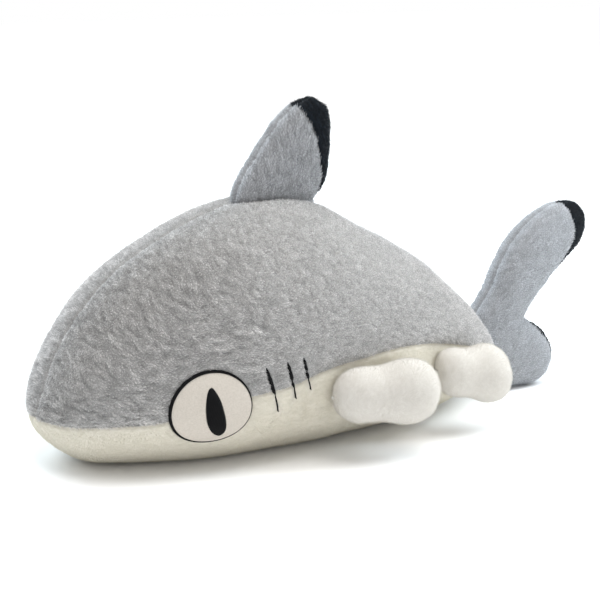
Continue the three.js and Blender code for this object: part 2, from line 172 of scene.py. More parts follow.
def noise(p, size, seed=0):
    """Smooth noise from -1 to 1 with lumps of a size in millimetres; p has 2 or 3 columns."""
    q = np.asarray(p, float) / size + 7.3 * seed + 100
    cell = np.floor(q).astype(int)
    w = q - cell
    w = w * w * w * (w * (6 * w - 15) + 10)
    total = np.zeros(q.shape[:-1])
    axes = q.shape[-1]
    for corner in range(2 ** axes):
        bits = [(corner >> k) & 1 for k in range(axes)]
        key = np.zeros(q.shape[:-1], int)
        share = np.ones(q.shape[:-1])
        for k, bit in enumerate(bits):
            key = HASH[(key + cell[..., k] + bit) & 4095]
            share = share * (w[..., k] if bit else 1 - w[..., k])
        total += share * HASH_VALUES[key]
    return total


# ---------------------------------------------------------------- the body form
KNOTS = np.arccos(1 - 2 * BODY_STATIONS[:, 0] / BODY_LENGTH) / math.pi


def stations(u):
    """Half width, top, lowest point and widest height at a round parameter u."""
    values = BODY_STATIONS[:, 1:]
    i = np.clip(np.searchsorted(KNOTS, u, side="left") - 1, 0, len(KNOTS) - 2)
    last = len(KNOTS) - 1

    def slope(k):
        a, b = np.maximum(k - 1, 0), np.minimum(k + 1, last)
        return (values[b] - values[a]) / (KNOTS[b] - KNOTS[a])[..., None]

    h = (KNOTS[i + 1] - KNOTS[i])[..., None]
    t = (u - KNOTS[i])[..., None] / h
    rise, m0, m1 = values[i + 1] - values[i], slope(i) * h, slope(i + 1) * h
    v = values[i] + t * (m0 + t * (3 * rise - 2 * m0 - m1 + t * (m0 + m1 - 2 * rise)))
    return [v[..., k] for k in range(4)]


def body_points(u, angle):
    """Places on the stuffed body's left side (right where the angle passes below -90 degrees)."""
    x = BODY_LENGTH * (1 - np.cos(math.pi * u)) / 2
    half, top, under, waist = stations(u)
    s = np.sin(angle)
    z = waist + np.where(s > 0, top - waist, waist - under) * s
    z = np.where(z > 6, z, 0) + np.where(z > 6, 0, 0.75 * np.logaddexp(0, z / 0.75))
    return np.stack([x, -half * np.cos(angle), z], -1)


def seam_angle(u):
    """Angle of the belly seam around the section at u."""
    line = spline(BELLY_SEAM, np.linspace(0, 1, 400))
    x = BODY_LENGTH * (1 - np.cos(math.pi * u)) / 2
    _, top, under, waist = stations(u)
    rise = np.interp(x, line[:, 0], line[:, 1]) - waist
    room = np.maximum(np.where(rise > 0, top - waist, waist - under), 0.5)
    return np.arcsin(np.clip(rise / room, -0.6, 0.6))


# ---------------------------------------------------------------------- meshes
def to_frame(points):
    """Frame metres from millimetres behind the tip of the nose."""
    p = np.array(points, float).reshape(-1, 3) * MM
    p[:, 0] -= TOTAL_LENGTH / 2 * MM
    return p


def from_frame(points):
    """Millimetres behind the tip of the nose from frame metres."""
    p = np.array(points, float) / MM
    p[:, 0] += TOTAL_LENGTH / 2
    return p


def add_object(name, data):
    obj = bpy.data.objects.new(name, data)
    bpy.context.collection.objects.link(obj)
    return obj


def new_mesh(name, points, faces, uv=None):
    """A mesh object from millimetre points; uv holds one pair for each point, in metres."""
    mesh = bpy.data.meshes.new(name)
    mesh.from_pydata(to_frame(points).tolist(), [], [tuple(face) for face in faces])
    if uv is not None:
        corner = np.empty(len(mesh.loops), int)
        mesh.loops.foreach_get("vertex_index", corner)
        mesh.uv_layers.new(name="weave").data.foreach_set("uv", np.asarray(uv)[corner].ravel())
    mesh.polygons.foreach_set("use_smooth", [True] * len(mesh.polygons))
    return add_object(name, mesh)


def grid_faces(rows, columns, flip=False):
    i, j = grid(np.arange(rows - 1), np.arange(columns - 1))
    a = (i * columns + j).ravel()
    quad = np.stack([a, a + 1, a + columns + 1, a + columns], -1)
    return quad[:, ::-1] if flip else quad


def tube_faces(rings, around):
    """Faces of a tube with a flat cap on both ends."""
    def face(i, j):
        k = (j + 1) % around
        return (i * around + j, i * around + k, (i + 1) * around + k, (i + 1) * around + j)

    walls = [face(i, j) for i in range(rings - 1) for j in range(around)]
    return walls + [tuple(range(around))[::-1], tuple((rings - 1) * around + j for j in range(around))]


def grid_normals(p, flip=False):
    n = np.cross(np.gradient(p, axis=0), np.gradient(p, axis=1))
    size = np.linalg.norm(n, axis=-1, keepdims=True)
    n = n / np.maximum(size, 1e-9)
    return n if flip else -n


def arc_lengths(p):
    """Distance travelled along each grid direction, in millimetres."""
    down = np.linalg.norm(np.diff(p, axis=0), axis=-1)
    across = np.linalg.norm(np.diff(p, axis=1), axis=-1)
    down = np.vstack([np.zeros((1, p.shape[1])), np.cumsum(down, 0)])
    across = np.hstack([np.zeros((p.shape[0], 1)), np.cumsum(across, 1)])
    return down, across


def weave(down, across):
    """The cloth's own coordinates, in metres, one pair for each point."""
    return np.stack([down, across], -1).reshape(-1, 2) * MM


def unit(v):
    return v / np.maximum(np.linalg.norm(v, axis=-1, keepdims=True), 1e-9)


def point_attribute(obj, name, values):
    values = np.asarray(values, np.float32)
    kind = "FLOAT_VECTOR" if values.ndim == 2 else "FLOAT"
    attribute = obj.data.attributes.new(name, kind, "POINT")
    attribute.data.foreach_set("vector" if values.ndim == 2 else "value", values.ravel())


def pile_attributes(obj, lock, comb, pile, length):
    """What the pile reads at each point: lock, lay, where it grows, and its length in millimetres."""
    point_attribute(obj, "lock", np.ravel(lock))
    point_attribute(obj, "comb", np.reshape(comb, (-1, 3)))
    point_attribute(obj, "pile", np.ravel(pile))
    point_attribute(obj, "pile_length", np.ravel(length) * MM)


def change_mesh(obj, change):
    """Runs a change on an object's mesh, opened for editing."""
    bm = bmesh.new()
    bm.from_mesh(obj.data)
    change(bm)
    bm.to_mesh(obj.data)
    bm.free()


def weld(obj):
    """Joins points that lie on each other."""
    change_mesh(obj, lambda bm: bmesh.ops.remove_doubles(bm, verts=bm.verts, dist=1e-6))


def mirrored(points):
    return np.asarray(points) * np.array([1, -1, 1])


def on_side(points, side):
    """Left-side points, moved to the side that is asked for."""
    return mirrored(points) if side < 0 else points


# -------------------------------------------------------- places on the body
def smooth_body():
    """The bare body form, for finding places on its surface."""
    u, angle = grid(np.linspace(0.01, 0.99, 120), np.linspace(-math.pi, math.pi, 161))
    points = body_points(u, angle).reshape(-1, 3)
    return BVHTree.FromPolygons(points.tolist(), grid_faces(*u.shape).tolist())


BODY_TREE = smooth_body()


def eye_axes():
    """Directions of the left eye: to the rear, up, and outwards."""
    a, d = math.radians(EYE["azimuth"]), math.radians(EYE["dip"])
    out = np.array([-math.sin(a) * math.cos(d), -math.cos(a) * math.cos(d), -math.sin(d)])
    rear = np.array([math.cos(a), -math.sin(a), 0])
    return rear, np.cross(rear, out) * (1 if np.cross(rear, out)[2] > 0 else -1), out


EYE_REAR, EYE_UP, EYE_OUT = eye_axes()
EYE_CENTRE = np.array([EYE["x"], -80, EYE["z"]])


def eye_share(points):
    """Distance from the left eye's centre as a share of its oval; a large share for right-side points."""
    across = (points - EYE_CENTRE) @ EYE_REAR
    up = (points - EYE_CENTRE) @ EYE_UP
    share = np.hypot(across / (EYE["wide"] / 2), up / (EYE["tall"] / 2))
    return np.where(points[..., 1] < 0, share, 9)


def on_left_side(points, direction=None):
    """The nearest places of the body's surface along a direction from outside, and the normals."""
    direction = -EYE_OUT if direction is None else np.array(direction, float)
    hits, normals = [], []
    for p in np.asarray(points, float).reshape(-1, 3):
        start = Vector(p - direction * 150)
        hit, normal, _, _ = BODY_TREE.ray_cast(start, Vector(direction))
        if hit is None:
            hit, normal, _, _ = BODY_TREE.find_nearest(Vector(p))
        normal = normal if normal.dot(Vector(direction)) < 0 else -normal
        hits.append(hit[:])
        normals.append(normal[:])
    shape = np.asarray(points).shape
    return np.array(hits).reshape(shape), np.array(normals).reshape(shape)


def segment_distance(points, a, b):
    a, b = np.array(a, float), np.array(b, float)
    t = np.clip(((points - a) @ (b - a)) / ((b - a) @ (b - a)), 0, 1)
    return np.linalg.norm(points - (a + t[..., None] * (b - a)), axis=-1)


def gill_line(pair):
    """Places and normals down one gill bar on the left flank."""
    ends = np.array([(x, -200, z) for x, z in pair], float)
    return on_left_side(ends[0] + (ends[1] - ends[0]) * np.linspace(0, 1, 9)[:, None], (0, 1, 0))


GILL_LINES = [gill_line(pair) for pair in GILLS]


def body_relief(p, flank):
    """How far the stuffed cover stands off the bare form at each point: lumps, tucks and dents."""
    share = eye_share(flank)
    lump = 0.9 * noise(p, 46, 1) + 0.45 * noise(p, 19, 2)
    dent = -2.2 * (1 - ease(0.93, 1.06, share)) - 0.8 * (1 - ease(1.02, 1.25, share))
    for line, _ in GILL_LINES:
        tuck_end = line[-1] + np.array([2, 8, -22])
        dent = dent - 1.1 * np.exp(-(segment_distance(flank, line[0], line[-1]) / 2.6) ** 2)
        dent = dent - 0.8 * np.exp(-(segment_distance(flank, line[-1], tuck_end) / 3.2) ** 2)
    for stub in STUBS.values():
        beside = segment_distance(flank, stub["start"], stub["end"]) - 21 * stub["scale"]
        dent = dent - 2.0 * (1 - ease(-2, 8, beside))
    return lump + dent


def seam_dip(distance, along, depth, seed):
    """The pull of a seam on the cover beside it, with small puckers along it."""
    wide = np.exp(-distance / 7)
    pucker = 0.45 * noise(np.stack([along, 0 * along], -1), 5.5, seed) * wide
    return 0.25 * depth - depth * np.exp(-(distance / 1.7) ** 2) - 0.3 * depth * wide + pucker


def tufts(along, across, length, width, seed):
    """Locks of pile: ridges longer along the comb than across it."""
    q = np.stack([along / length, across / width], -1)
    warp = 0.55 * noise(q, 2.3, seed + 5)
    q = q + warp[..., None]
    return 0.6 * noise(q, 1, seed) + 0.4 * noise(q, 0.55, seed + 1)


def combed(values, steps, count):
    """Grid values drawn out along a direction; steps holds one step in rows and columns for each place."""
    rows, columns = values.shape

    def inside(a, b):
        return np.clip(a, 0, rows - 1.001), np.clip(b, 0, columns - 1.001)

    i, j = grid(np.arange(rows, dtype=float), np.arange(columns, dtype=float))
    total, weight = values.copy(), 1.0
    for sign in (-1, 1):
        a, b = i, j
        for k in range(count):
            share = 1 - (k + 1) / (count + 1)
            r, c = inside(a, b)
            step = sign * steps[r.astype(int), c.astype(int)]
            a, b = a + step[..., 0], b + step[..., 1]
            r, c = inside(a, b)
            r0, c0 = r.astype(int), c.astype(int)
            fr, fc = r - r0, c - c0
            total += share * (
                values[r0, c0] * (1 - fr) * (1 - fc) + values[r0 + 1, c0] * fr * (1 - fc)
                + values[r0, c0 + 1] * (1 - fr) * fc + values[r0 + 1, c0 + 1] * fr * fc)
            weight += share
    drawn = total / weight
    return drawn / max(drawn.std(), 1e-6)


def body_locks(p, down, across, comb, lay, width):
    """Locks of pile on a body panel: noise drawn out along the comb, further where the pile lies flatter."""
    spacing = [np.maximum(np.gradient(down, axis=0), 0.05), np.maximum(np.gradient(across, axis=1), 0.05)]
    steps = np.stack([comb[..., k] / np.maximum(lay, 1e-6) / spacing[k] for k in range(2)], -1)
    grain = noise(p, width, 3) + 0.5 * noise(p, width * 0.6, 4)
    long, short = (combed(grain, np.clip(steps, -4, 4), count) for count in (5, 1))
    return short + (long - short) * ease(0.35, 0.7, lay)


def body_panel(name, rows, columns, angles, seams, comb_of, tuft, side=1, flip=False):
    """One cover panel of the body. seams lists, for each long edge, how deep its seam pulls."""
    share, t = grid(np.linspace(0, 1, rows), np.linspace(0, 1, columns))
    u = 0.004 + 0.992 * share
    t = t - 0.09 * np.sin(2 * math.pi * t)
    low, high = angles(u)
    p = on_side(body_points(u, low + (high - low) * t), side)
    n = grid_normals(p, flip)
    down, across = arc_lengths(p)
    flank = np.where(p[..., 1:2] > 0, mirrored(p), p)
    width = across[:, -1:]
    from_edge = [across, width - across]
    root = np.hypot((p[..., 0] - DORSAL_ROOT["x"]) / DORSAL_ROOT["long"], p[..., 1] / DORSAL_ROOT["wide"])
    fin_seam = np.where(p[..., 2] > DORSAL_ROOT["above"], np.exp(-(20 * (root - 1) / 3.2) ** 2), 0)
    lift = body_relief(p, flank) - DORSAL_ROOT["depth"] * fin_seam
    for k, depth in enumerate(seams):
        lift = lift + seam_dip(from_edge[k], down, depth, 20 + k)
    comb, length = comb_of(p, across / np.maximum(width, 1e-6))
    lift = lift - 0.3 * length
    lay = np.hypot(comb[..., 0], comb[..., 1])
    lock = body_locks(p, down, across, comb, lay, tuft["width"])
    lift = lift + tuft["height"] * np.clip(lock, -2.2, 2.2) * (0.4 + 0.6 * lay)
    direction = unit(np.gradient(p, axis=0)) * comb[..., 0:1] + unit(np.gradient(p, axis=1)) * comb[..., 1:2]
    p = p + n * lift[..., None]
    p[..., 2] = np.maximum(p[..., 2], 0.0)
    obj = new_mesh(name, p, grid_faces(rows, columns, flip), weave(down, across))

    eye = eye_share(flank)
    bare = ease(0.99, 1.03, eye) * ease(0.5, 2.0, p[..., 2])
    bare = bare * ease(0.1 * seams[1], 0.55 * seams[1], from_edge[1])
    short = (0.45 + 0.55 * ease(1.0, 1.22, eye)) * (1 - 0.65 * fin_seam)
    short = short * (0.35 + 0.65 * ease(0, 1.5 * seams[1], from_edge[1]))
    for line, _ in GILL_LINES:
        beside = segment_distance(flank, line[0], line[-1])
        bare = bare * ease(1.2, 2.2, beside)
        short = short * (0.4 + 0.6 * ease(1.5, 5, beside))
    pile_attributes(obj, lock, direction, bare, length * short)
    return obj


def back_comb(p, t):
    """On the back the pile lies down the flank and towards the tail, longest on the head."""
    head = 1 - ease(90, 190, p[..., 0])
    lay = 0.32 + 0.25 * head
    swirl = (0.2 + 0.4 * (1 - head)) * noise(p, 24, 8) + 0.4 * noise(p, 7, 10)
    angle = -math.radians(8) - math.radians(80) * ease(0, 0.75, t) + swirl
    return np.stack([lay * np.cos(angle), lay * np.sin(angle)], -1), 1.4 + 0.9 * head


def belly_comb(p, t):
    """On the belly the short pile lies towards the tail all over."""
    lay = 0.45
    angle = 0.5 * noise(p, 26, 9) + 0.25 + 0 * t
    return np.stack([lay * np.cos(angle), lay * np.sin(angle)], -1), 0.9


def back_angles(u):
    return seam_angle(u), np.full_like(u, math.pi / 2)


def belly_angles(u):
    a = seam_angle(u)
    return a, -math.pi - a


def make_body():
    """The grey back panels and the white belly panel, by the CAD nodes that they replace."""
    made = {}
    for end, side in SIDES.items():
        made[f"back_panel_{end}"] = body_panel(
            f"back_cover_{end}", quality(400), quality(112), back_angles, (1.0, 3.4), back_comb,
            dict(height=0.2, width=1.35), side, side > 0)
    made["belly_panel"] = body_panel(
        "belly_cover", quality(300), quality(190), belly_angles, (1.0, 1.0), belly_comb,
        dict(height=0.1, width=1.8))
    return made


# ------------------------------------------------------------- fins and tail
def lobe_rings(shape, sections, points, inset):
    """Rings of a cushion-shaped lobe, each around the middle plane, from its root to its tip."""
    t = np.linspace(0, 1 - 0.016 * inset, sections)
    front, rear = spline(shape["front"], t), spline(shape["rear"], t)
    half = spline([(i, h) for i, h in enumerate(shape["half"])], t)[:, 1]
    angle = np.linspace(0, 2 * math.pi, points, endpoint=False)
    middle, chord = (front + rear) / 2, (rear - front) / 2
    reach = np.linalg.norm(chord, axis=-1, keepdims=True)
    chord = chord / reach * np.maximum(reach - inset, 0.8)
    half = np.maximum(half - inset, 0.8)
    c, s = (np.sign(v) * np.abs(v) ** (2 / BLUNTNESS) for v in (np.cos(angle), np.sin(angle)))
    xz = middle[:, None] + chord[:, None] * c[None, :, None]
    y = half[:, None] * s[None, :]
    return np.stack([xz[..., 0], y, xz[..., 1]], -1)


def lobe_solid(shape, inset, sections=60, points=64):
    """A closed mesh of one lobe, as points and faces."""
    p = lobe_rings(shape, sections, points, inset).reshape(-1, 3)
    return p, tube_faces(sections, points)


def fused(name, shapes, voxel, smoothing, inset=0.0):
    """Lobes fused into one smooth closed skin."""
    points, faces, start = [], [], 0
    for shape in shapes:
        p, f = lobe_solid(shape, inset)
        points.append(p)
        faces += [tuple(k + start for k in face) for face in f]
        start += len(p)
    obj = new_mesh(name, np.vstack(points), faces)
    change_mesh(obj, lambda bm: bmesh.ops.recalc_face_normals(bm, faces=bm.faces))
    remesh = obj.modifiers.new("fuse", "REMESH")
    remesh.mode, remesh.voxel_size = "VOXEL", voxel * MM
    smooth = obj.modifiers.new("smooth", "SMOOTH")
    smooth.factor, smooth.iterations = 0.5, smoothing
    evaluated = obj.evaluated_get(bpy.context.evaluated_depsgraph_get())
    mesh = bpy.data.meshes.new_from_object(evaluated)
    bpy.data.objects.remove(obj)
    return mesh


def side_distance(x, z, line):
    """Distance in the side view from a polyline, on which side of it a point lies, and how far along."""
    p = np.stack([x, z], -1)
    best, sign, run, travelled = np.full(x.shape, 1e9), np.zeros(x.shape), np.zeros(x.shape), 0.0
    for a, b in zip(line[:-1], line[1:]):
        d = b - a
        t = np.clip(((p - a) @ d) / (d @ d), 0, 1)
        off = p - (a + t[..., None] * d)
        dist = np.hypot(off[..., 0], off[..., 1])
        cross = d[0] * (p[..., 1] - a[1]) - d[1] * (p[..., 0] - a[0])
        nearer = dist < best
        best = np.where(nearer, dist, best)
        sign = np.where(nearer, np.sign(cross), sign)
        run = np.where(nearer, travelled + t * math.hypot(*d), run)
        travelled += math.hypot(*d)
    return best, sign, run


def cut_along(bm, line):
    """Splits faces along a line drawn from the side, so that panels part exactly on it."""
    for a, b in zip(line[:-1], line[1:]):
        d = b - a
        length = math.hypot(*d)
        near = []
        for f in bm.faces:
            c = f.calc_center_median() / MM
            q = np.array([c.x + TOTAL_LENGTH / 2, c.z]) - a
            along, off = q @ d / length, (d[0] * q[1] - d[1] * q[0]) / length
            if -3 < along < length + 3 and abs(off) < 3:
                near.append(f)
        geom = set(near) | {e for f in near for e in f.edges} | {v for f in near for v in f.verts}
        origin = Vector(((a[0] - TOTAL_LENGTH / 2) * MM, 0, a[1] * MM))
        normal = Vector((-d[1], 0, d[0])).normalized()
        bmesh.ops.bisect_plane(bm, geom=list(geom), plane_co=origin, plane_no=normal, dist=1e-5)


def split_lobe(mesh, side, edges, keep_face):
    """Left or right half of a fused skin, parted into the faces that keep_face picks out."""
    bm = bmesh.new()
    bm.from_mesh(mesh)
    bmesh.ops.bisect_plane(
        bm, geom=bm.verts[:] + bm.edges[:] + bm.faces[:], plane_co=(0, 0, 0), plane_no=(0, side, 0),
        clear_outer=True, dist=1e-6)
    for line in edges:
        cut_along(bm, line)
    bm.faces.ensure_lookup_table()
    centres = from_frame([f.calc_center_median()[:] for f in bm.faces])
    drop = [bm.faces[i] for i in np.nonzero(~keep_face(centres))[0]]
    bmesh.ops.delete(bm, geom=drop, context="FACES")
    bmesh.ops.triangulate(bm, faces=[f for f in bm.faces if len(f.verts) > 4])
    bm.verts.ensure_lookup_table()
    bm.normal_update()
    points = from_frame([v.co[:] for v in bm.verts])
    normals = np.array([v.normal[:] for v in bm.verts])
    faces = [[v.index for v in f.verts] for f in bm.faces]
    bm.free()
    return points, normals, faces


def lobe_piece(name, mesh, side, edges, keep_face, comb, tuft, length=1.4):
    """One sewn face of a fin or of the tail, with its seam edges drawn in."""
    p, n, faces = split_lobe(mesh, side, edges, keep_face)
    lift = 0.5 * noise(p, 24, 4) + 0.25 * noise(p, 11, 5)
    rim = np.abs(p[:, 1])
    lift = lift + 0.9 - 2.6 * np.exp(-(rim / 1.5) ** 2) - 0.6 * np.exp(-rim / 6) - 0.3 * length
    on_fin = p[:, 0] < TOTAL_LENGTH / 2
    lift = lift - 1.4 * np.exp(-((p[:, 2] - DORSAL_CREASE) / 4) ** 2) * on_fin
    for line in edges:
        d, _, run = side_distance(p[:, 0], p[:, 2], line)
        lift = lift + seam_dip(d, run, 0.5, 31)
    direction = np.array(comb, float) + 0 * p
    direction = direction + 0.35 * np.stack([noise(p, 18, 6), 0 * rim, noise(p, 18, 7)], -1)
    direction = unit(direction - n * np.sum(direction * n, -1, keepdims=True))
    base = unit(np.array([comb[0], comb[2]]))
    run, over = p[:, [0, 2]] @ base, p[:, [0, 2]] @ np.array([-base[1], base[0]])
    lock = 2.2 * tufts(run, over, tuft["length"], tuft["width"], 14)
    lift = lift + tuft["height"] * lock
    edge = rim < 0.02
    moved = p + n * lift[:, None]
    moved[edge, 1] = p[edge, 1]
    obj = new_mesh(name, moved, faces, weave(run, over))
    pile_attributes(obj, lock, direction * 0.6, ease(0.2, 1.2, rim), length * (0.35 + 0.65 * ease(0, 5, rim)))
    return obj


def beyond(line):
    """A test for places on the tip's side of an edge drawn from the side."""
    def test(c):
        _, sign, _ = side_distance(c[:, 0], c[:, 2], line)
        return sign > 0
    return test


def make_dorsal():
    """The dorsal fin's grey faces and black tips, by the CAD nodes that they replace."""
    mesh = fused("dorsal", [DORSAL], quality(1.3), 3)
    edge = spline(DORSAL_TIP_EDGE, np.linspace(0, 1, 13))
    is_tip = beyond(edge)
    tuft = dict(height=0.28, length=5, width=1.7)
    parts = {
        "face": ("dorsal_cover", lambda c: ~is_tip(c) & (c[:, 2] > DORSAL_FOOT), (0.25, 0, 0.97), 2.2),
        "tip": ("dorsal_tip_cover", lambda c: is_tip(c) & (c[:, 2] > DORSAL_FOOT), (0.4, 0, -0.9), 1.8),
    }
    return {
        f"dorsal_fin_{part}_{end}": lobe_piece(f"{name}_{end}", mesh, side, [edge], keep, comb, tuft, length)
        for end, side in SIDES.items() for part, (name, keep, comb, length) in parts.items()}


def make_tail():
    """The tail's grey faces and black tips, by the CAD nodes that they replace."""
    mesh = fused("tail", [TAIL_UPPER, TAIL_LOWER], quality(1.3), 6)
    upper = spline(TAIL_UPPER_EDGE, np.linspace(0, 1, 13))
    lower = spline(TAIL_LOWER_EDGE, np.linspace(0, 1, 13))
    is_upper, is_lower = beyond(upper), beyond(lower)

    def upper_tip(c):
        return is_upper(c) & (c[:, 2] > 76) & (c[:, 0] > 430)

    def lower_tip(c):
        return is_lower(c) & (c[:, 2] < 58) & (c[:, 0] > 415)

    tuft = dict(height=0.14, length=4, width=1.7)
    parts = {
        "face": ("tail_cover", [upper, lower], lambda c: ~upper_tip(c) & ~lower_tip(c), (0.75, 0, 0.66)),
        "upper_tip": ("tail_upper_tip_cover", [upper], upper_tip, (0.9, 0, 0.4)),
        "lower_tip": ("tail_lower_tip_cover", [lower], lower_tip, (0.9, 0, -0.4)),
    }
    return {
        f"tail_{part}_{end}": lobe_piece(f"{name}_{end}", mesh, side, edges, keep, comb, tuft)
        for end, side in SIDES.items() for part, (name, edges, keep, comb) in parts.items()}


def stub_axes(stub):
    """A stub fin's front end, its axis to the rear end, and its sideways direction."""
    start = np.array(stub["start"], float)
    axis = np.array(stub["end"], float) - start
    return start, axis, unit(np.array([-axis[1], axis[0], 0]))


def stub_profile(stub, share):
    """Place along a stub fin's axis and radius there, with more steps near the ends."""
    place = spline([(at, r * stub["scale"]) for at, r in STUB_PROFILE], 0.5 - 0.5 * np.cos(math.pi * share))
    return place[..., 0], place[..., 1]


def around_stub(stub, at, radius, angle):
    """Places around a stub fin's axis, which are a little flat from side to side."""
    start, axis, sideways = stub_axes(stub)
    p = start + axis * at[..., None] + sideways * (radius * STUB_FLATNESS * np.cos(angle))[..., None]
    p[..., 2] += radius * np.sin(angle)
    return p


def stub_half(name, stub, top, side, rows, columns):
    """The top or bottom face of a stub fin, from its front end to its rear end."""
    _, axis, sideways = stub_axes(stub)
    share, t = grid(np.linspace(0, 1, rows), np.linspace(0, 1, columns))
    at, radius = stub_profile(stub, share)
    radius = np.maximum(radius, 0.01)
    at = at + 0.018 * np.clip(1 - radius / 7, 0, 1) ** 2 * np.sign(0.5 - at)     # blunts both ends
    angle = math.pi * t * (1 if top else -1)
    p = around_stub(stub, at, radius, angle)
    upwards = np.array([0, 0, 1])
    n = unit(sideways * np.cos(angle)[..., None] / STUB_FLATNESS + upwards * np.sin(angle)[..., None])
    advance = np.maximum(np.gradient(at * np.linalg.norm(axis), axis=0), 1e-3)
    n = unit(n + unit(axis) * (-np.gradient(radius, axis=0) / advance)[..., None])
    down, across = arc_lengths(p)
    lock = 1.6 * noise(p, 3.0, 2)
    lift = 0.5 * noise(p, 17, 3) + 0.05 * lock
    p = on_side(p + n * lift[..., None], side)
    comb = on_side(0.35 * (unit(axis) - n * np.sum(unit(axis) * n, -1, keepdims=True)), side)
    obj = new_mesh(name, p, grid_faces(rows, columns, top == (side < 0)), weave(down, across))
    pile_attributes(obj, lock, comb, np.ones_like(lock), np.ones_like(lock))
    weld(obj)
    return obj


def make_stubs():
    """The covers of the stub fins, by kind, half and side."""
    made = {}
    rows, columns = quality(84), quality(56)
    for kind, stub in STUBS.items():
        for end, side in SIDES.items():
            for half in ("top", "bottom"):
                name = f"{kind}_cover_{half}_{end}"
                made[kind, half, end] = stub_half(name, stub, half == "top", side, rows, columns)
    return made


# ----------------------------------------------------------- eyes and stitches
def eye_depth():
    """A smooth cubic through the body's surface behind the eye: its coefficients over across and up."""
    a, b = np.meshgrid(np.linspace(-1, 1, 15), np.linspace(-1, 1, 15))
    across, up = a.ravel() * EYE["wide"] / 2, b.ravel() * EYE["tall"] / 2
    flat = EYE_CENTRE + across[:, None] * EYE_REAR + up[:, None] * EYE_UP
    hits, _ = on_left_side(flat)
    depth = (hits - EYE_CENTRE) @ EYE_OUT
    return np.linalg.lstsq(cubic_terms(across, up), depth, rcond=None)[0]


def cubic_terms(x, y):
    return np.stack([1 + 0 * x, x, y, x * x, x * y, y * y, x ** 3, x * x * y, x * y * y, y ** 3], -1)


EYE_FIT = eye_depth()


def on_eye(across, up, height):
    """A place over the left eye: across to the rear, up, and a height above the body's surface."""
    depth = cubic_terms(across, up) @ EYE_FIT + height
    return EYE_CENTRE + across[..., None] * EYE_REAR + up[..., None] * EYE_UP + depth[..., None] * EYE_OUT


def eye_dome(share):
    """Height of the eye patch over the body, from its middle (0) to its rim (1)."""
    return 0.7 + (EYE["proud"] - 0.7) * np.sqrt(np.clip(1 - share ** 3.2, 0, 1))


def eye_patch(name, side):
    """A domed patch with a skirt that goes down into the cover."""
    rings, around = 44, 120
    share, turn = grid(np.linspace(0, 1, rings) ** 0.8, np.linspace(0, 2 * math.pi, around + 1))
    across = share * EYE["wide"] / 2 * np.cos(turn)
    up = share * EYE["tall"] / 2 * np.sin(turn)
    wave = 0.12 * noise(np.stack([across, up], -1), 9, 3) * (1 - share ** 4)
    p = on_eye(across, up, eye_dome(share) + wave)
    skirt = on_eye(across[-1] * 0.995, up[-1] * 0.995, np.full(around + 1, -1.6))
    p = np.concatenate([p, skirt[None]])
    uv = weave(np.vstack([across, across[-1:]]), np.vstack([up, up[-1:]]))
    obj = new_mesh(name, on_side(p, side), grid_faces(rings + 1, around + 1, side > 0), uv)
    weld(obj)
    return obj


def threads(name, starts, ends, up, rise, radius, side=1, sink=0.5, sides=6, steps=7):
    """A row of stitches: each a thread that arches from its start to its end over the cloth."""
    t = np.linspace(0, 1, steps)[:, None]
    arch = np.sqrt(np.clip(4 * t * (1 - t), 0, 1))
    starts, ends, up = (np.asarray(v, float)[:, None] for v in (starts, ends, up))
    height = np.asarray(rise, float).reshape(-1, 1, 1) * arch - sink * (1 - arch)
    line = starts + (ends - starts) * t + up * height
    ahead = unit(np.gradient(line, axis=1))
    beside = unit(np.cross(ahead, up))
    over = np.cross(beside, ahead)
    turn = np.linspace(0, 2 * math.pi, sides, endpoint=False)
    ring = beside[:, :, None] * np.cos(turn)[:, None] + over[:, :, None] * np.sin(turn)[:, None]
    p = line[:, :, None] + np.asarray(radius, float).reshape(-1, 1, 1, 1) * ring
    count = len(p)
    tube = tube_faces(steps, sides)
    faces = [tuple(k + n * steps * sides for k in face) for n in range(count) for face in tube]
    if side < 0:
        faces = [face[::-1] for face in faces]
    around = np.broadcast_to(np.arange(sides) / sides, (count, steps, sides))
    along = np.broadcast_to(np.linspace(0, 1, steps)[:, None], (count, steps, sides))
    uv = np.stack([along, around + np.arange(count)[:, None, None]], -1).reshape(-1, 2)
    return new_mesh(name, on_side(p.reshape(-1, 3), side), faces, uv)


def eye_outline(name, side):
    """Satin stitches around the patch, widest towards the nose and narrow at the lower rear."""
    stitches = 300
    turn = np.linspace(0, 2 * math.pi, stitches, endpoint=False)
    width = 1.1 + 0.8 * np.cos(turn - math.radians(160))
    out = np.stack([np.cos(turn), np.sin(turn)], -1)
    inner = out * [EYE["wide"] / 2 - 0.3, EYE["tall"] / 2 - 0.3]
    slant = np.stack([-out[:, 1], out[:, 0]], -1) * 0.5
    outer = inner + out * width[:, None] + slant
    starts = on_eye(inner[:, 0], inner[:, 1], np.full(stitches, 1.0))
    ends = on_eye(outer[:, 0], outer[:, 1], np.full(stitches, 0.6))
    up = np.broadcast_to(EYE_OUT, starts.shape)
    return threads(name, starts, ends, up, 0.3 + 0.2 * width, 0.24 + 0.06 * width, side)


def pupil(name, side):
    """Satin stitches from side to side of a leaning slit, fullest below its middle."""
    t = (1 - np.cos(math.pi * np.linspace(0.03, 0.97, 88))) / 2
    half = 0.3 + PUPIL["width"] / 2 * np.sqrt(1 - (1 - 2 * t ** 1.25) ** 2)
    middle = PUPIL["x"] + PUPIL["lean"] * (2 * t - 1)
    level = PUPIL["z"] + PUPIL["height"] * (0.5 - t)
    base = eye_dome(np.hypot(level / (EYE["tall"] / 2), 0.1)) - 0.1
    starts, ends = on_eye(middle - half, level - 0.3, base), on_eye(middle + half, level + 0.3, base)
    up = np.broadcast_to(EYE_OUT, starts.shape)
    return threads(name, starts, ends, up, 0.35 + 1.1 * half / PUPIL["width"], 0.34, side, sink=0.35)


